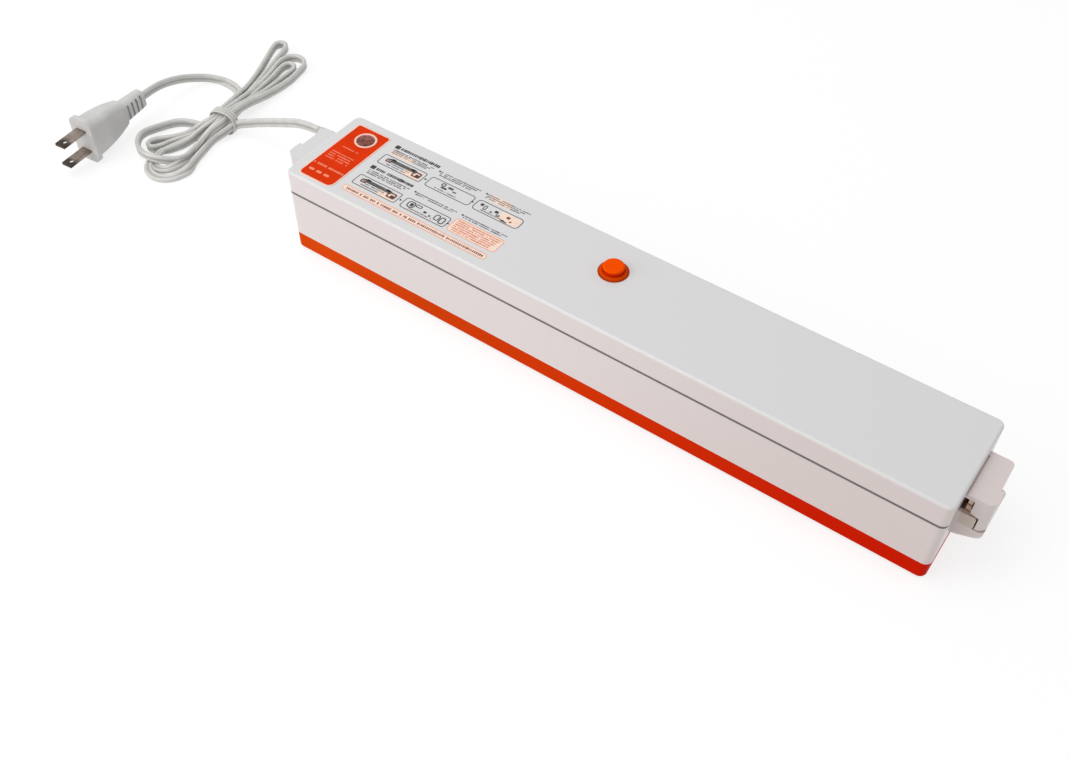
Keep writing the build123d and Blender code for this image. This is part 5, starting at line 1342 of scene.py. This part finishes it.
def frame_bands(frames, line, thickness):
    """Thin printed outlines of rounded boxes."""
    shape = bmesh.new()
    for x, y, width, depth, radius in frames:
        add_mark(shape, x, y, width, depth, thickness, radius, line)
    return shape


def add_arrow(shape, x, y, size, thickness):
    """A small printed arrow head that points to the right."""
    half = size / 2
    corners = [panel_point(x + a, y + b) for a, b in ((-half, half), (-half, -half), (half, 0.0))]
    add_plate(shape, corners, PRINT_LOW, LID_TOP + thickness)


# Small pictures in the guide boxes: rows and box, place from the box's left end and from the row's
# top, size, corner radius, and the width of the line for an outline or None for a filled shape.
UPPER = (0,)
LOWER = (1,)
BOTH = (0, 1)
BLACK_SHAPES = (
    (BOTH, 0, 12.6, -10.2, 17.0, 2.1, 0.5, 0.5),
    (BOTH, 0, 6.6, -9.3, 2.4, 1.1, 0.2, None),
    (BOTH, 0, 22.9, -12.1, 2.0, 1.7, 0.3, None),
    (BOTH, 0, 18.9, -9.6, 2.2, 1.2, 0.3, None),
    (LOWER, 1, 4.6, -11.0, 4.2, 4.4, 1.6, 0.55),
    (LOWER, 1, 4.9, -11.0, 1.7, 2.2, 0.5, None),
    (LOWER, 1, 8.6, -10.0, 3.4, 1.9, 0.5, 0.45),
    (LOWER, 1, 13.2, -11.6, 1.6, 1.3, 0.3, None),
    (LOWER, 1, 16.4, -12.4, 1.1, 1.0, 0.3, None),
    (LOWER, 1, 20.0, -11.2, 2.8, 4.0, 1.0, 0.5),
    (LOWER, 1, 23.2, -11.7, 3.0, 4.6, 1.2, 0.6),
    (UPPER, 2, 3.4, -10.2, 1.7, 1.7, 0.3, None),
    (UPPER, 2, 12.0, -10.6, 1.9, 1.6, 0.3, None),
    (UPPER, 2, 18.2, -14.1, 3.6, 0.7, 0.2, None),
)
GREY_SHAPES = (
    (BOTH, 0, 13.0, -10.2, 15.0, 0.9, 0.2, None),
    (UPPER, 1, 8.2, -9.6, 2.4, 2.2, 0.6, 0.6),
    (UPPER, 1, 9.6, -11.6, 3.4, 1.3, 0.4, None),
    (UPPER, 1, 12.6, -9.9, 3.0, 1.4, 0.4, None),
    (UPPER, 1, 15.6, -11.2, 2.2, 0.8, 0.2, None),
    (UPPER, 2, 5.8, -11.2, 1.7, 3.2, 0.5, 0.5),
    (UPPER, 2, 13.8, -12.4, 2.0, 1.5, 0.4, 0.5),
    (UPPER, 2, 9.6, -12.2, 1.2, 1.0, 0.3, None),
)
BROWN_SHAPES = (
    (BOTH, 0, 4.6, -10.9, 3.4, 2.6, 0.5, 0.75),
    (BOTH, 0, 22.2, -11.6, 5.0, 4.0, 0.9, 0.9),
    (UPPER, 2, 18.9, -10.8, 1.8, 1.6, 0.3, None),
    (UPPER, 2, 21.2, -12.6, 1.1, 1.0, 0.3, None),
)
PALE_PATCHES = (
    (BOTH, 0, 20.0, -12.2, 9.6, 5.2, 0.6, None),
    (UPPER, 0, 8.0, -5.0, 14.0, 2.6, 0.5, None),
    (UPPER, 2, 9.6, -3.9, 12.0, 4.2, 0.5, None),
    (UPPER, 2, 19.6, -11.4, 11.4, 5.8, 0.8, None),
)


def picture_shapes(shapes, thickness):
    """Filled and outlined shapes of the small pictures in one bmesh."""
    shape = bmesh.new()
    for rows, box, x, y, width, depth, radius, line in shapes:
        for row in rows:
            place = (BOX_STARTS[box] + x, ROW_TOPS[row] + y)
            add_mark(shape, *place, width, depth, thickness, radius, line)
    return shape


# Each ink, and for each row of marks its ink, pitch, mark width, mark height, share of gaps and seed.
INKS = {
    "black_ink": (34, 32, 32),
    "grey_ink": (74, 70, 70),
    "brown_ink": (112, 48, 32),
    "warm_ink": (214, 104, 62),
    "peach_ink": (236, 148, 116),
    "pale_peach_ink": (250, 219, 202),
    "faint_ink": (250, 136, 100),
}
MARK_ROWS = {
    "heading_marks": ("black_ink", 1.05, 1.0, 2.1, 0.1, 3),
    "small_marks": ("grey_ink", 0.66, 0.56, 0.78, 0.13, 7),
    "warm_marks": ("warm_ink", 0.8, 0.72, 0.8, 0.08, 11),
    "strip_marks": ("brown_ink", 1.05, 0.85, 1.5, 0.14, 5),
    "label_marks": ("faint_ink", 0.9, 0.75, 0.8, 0.12, 9),
    "divider_marks": ("faint_ink", 1.15, 0.95, 1.4, 0.1, 2),
}


def label_lines(height):
    """The lines printed on the label and its divider, at a height above the lid."""
    lines = [text_line(-20.4, 3.2, 9.0, height)]
    lines += text_block(-22.6, -2.0, count=4, pitch=1.7, length=13.0, height=height)
    return lines, [text_line(-24.0, -13.4, 17.4, height)]


class SEALER_OT_print(bpy.types.Operator):
    """Prints the generic guide marks: lines, boxes, arrows and small shapes, with no lettering"""

    bl_idname = "sealer.print"
    bl_label = "Guide marks"

    def execute(self, context):
        sizes = context.scene.sealer_label
        ink = sizes.ink
        inks = {name: ink_finish(name, linear(colour)) for name, colour in INKS.items()}
        strip = [text_line(TEXT_INDENT, STRIP_Y, STRIP_LENGTH)]
        runs = (*guide_lines(), strip, *label_lines(sizes.thickness))
        tree = mark_tree()
        for (name, row), lines in zip(MARK_ROWS.items(), runs):
            colour, pitch, width, height, gaps, seed = row
            settings = {
                "Pitch": pitch * MM,
                "Mark Width": width * MM,
                "Mark Height": height * MM,
                "Ink": 2 * ink,
                "Word Gaps": gaps,
                "Seed": seed,
                "Material": inks[colour],
            }
            mesh = marks_mesh(tree, lines, settings)
            piece_from_mesh(mesh, name, inks[colour], "lid", smooth=False)

        blocks = picture_shapes(BLACK_SHAPES, ink)
        for top in ROW_TOPS:
            add_mark(blocks, TEXT_INDENT, top - HEADING_DROP, *HEADING_BLOCK, ink)
            for x in BOX_STARTS[1:]:
                add_arrow(blocks, x - ARROW_SIZE, top - BOX_DROP, ARROW_SIZE, ink)
                add_mark(blocks, x + BULLET_INDENT, top - NOTE_DROP, *BULLET, ink)
        patches = picture_shapes(PALE_PATCHES, PATCH_INK * ink)
        for x, y, width, depth, radius in WARM_FRAMES:
            add_mark(patches, x, y, width, depth, FRAME_INK * ink, radius)
        dashes = bmesh.new()
        for x in DASH_STARTS:
            add_mark(dashes, x, DASH_Y, *DASH_SIZE, sizes.thickness + ink, DASH_RADIUS)
        for name, shape, colour, slot in (
            ("guide_boxes", frame_bands(guide_frames(), BOX_LINE, ink), "grey_ink", "component_black"),
            ("warm_boxes", frame_bands(WARM_FRAMES, WARM_LINE, ink), "peach_ink", "orange_button"),
            ("pale_patches", patches, "pale_peach_ink", "white_shell"),
            ("guide_blocks", blocks, "black_ink", "component_black"),
            ("grey_shapes", picture_shapes(GREY_SHAPES, ink), "grey_ink", "component_black"),
            ("brown_shapes", picture_shapes(BROWN_SHAPES, BROWN_INK * ink), "brown_ink", "orange_button"),
            ("label_dashes", dashes, "faint_ink", "orange_button"),
        ):
            piece_from_mesh(mesh_from_bmesh(shape, name), name, inks[colour], "lid", smooth=False)
        return {"FINISHED"}


# ------------------------------------------------------------------ panel
OPERATORS = (
    SEALER_OT_stage,
    SEALER_OT_tie,
    SEALER_OT_cord,
    SEALER_OT_housing,
    SEALER_OT_seals,
    SEALER_OT_metals,
    SEALER_OT_electrics,
    SEALER_OT_plug,
    SEALER_OT_label,
    SEALER_OT_print,
)
PROPERTY_GROUPS = {
    "sealer_cord": CordSizes,
    "sealer_shell": ShellColours,
    "sealer_label": LabelSizes,
    "sealer_stage": StageSizes,
}


class SEALER_PT_panel(bpy.types.Panel):
    """Lists the steps that finish the vacuum sealer"""

    bl_idname = "SEALER_PT_panel"
    bl_label = "Vacuum Sealer"
    bl_space_type = "VIEW_3D"
    bl_region_type = "UI"
    bl_category = "Sealer"

    def draw(self, context):
        for group in PROPERTY_GROUPS:
            settings = getattr(context.scene, group)
            for name in settings.bl_rna.properties.keys():
                if name not in ("rna_type", "name"):
                    self.layout.prop(settings, name)
        for operator in OPERATORS:
            self.layout.operator(operator.bl_idname)


def register():
    """Makes the sizes, the steps and the panel known to Blender."""
    for name, group in PROPERTY_GROUPS.items():
        bpy.utils.register_class(group)
        setattr(bpy.types.Scene, name, bpy.props.PointerProperty(type=group))
    for item in (*OPERATORS, SEALER_PT_panel):
        bpy.utils.register_class(item)


def unregister():
    """Takes them away again."""
    for item in reversed((*OPERATORS, SEALER_PT_panel)):
        bpy.utils.unregister_class(item)
    for name, group in PROPERTY_GROUPS.items():
        delattr(bpy.types.Scene, name)
        bpy.utils.unregister_class(group)


def main():
    """Builds every piece in order."""
    register()
    bpy.ops.sealer.stage()
    bpy.ops.sealer.tie()
    bpy.ops.sealer.cord()
    bpy.ops.sealer.housing()
    bpy.ops.sealer.seals()
    bpy.ops.sealer.metals()
    bpy.ops.sealer.electrics()
    bpy.ops.sealer.plug()
    bpy.ops.sealer.label()
    bpy.ops.sealer.print()


if __name__ == "__main__":
    main()
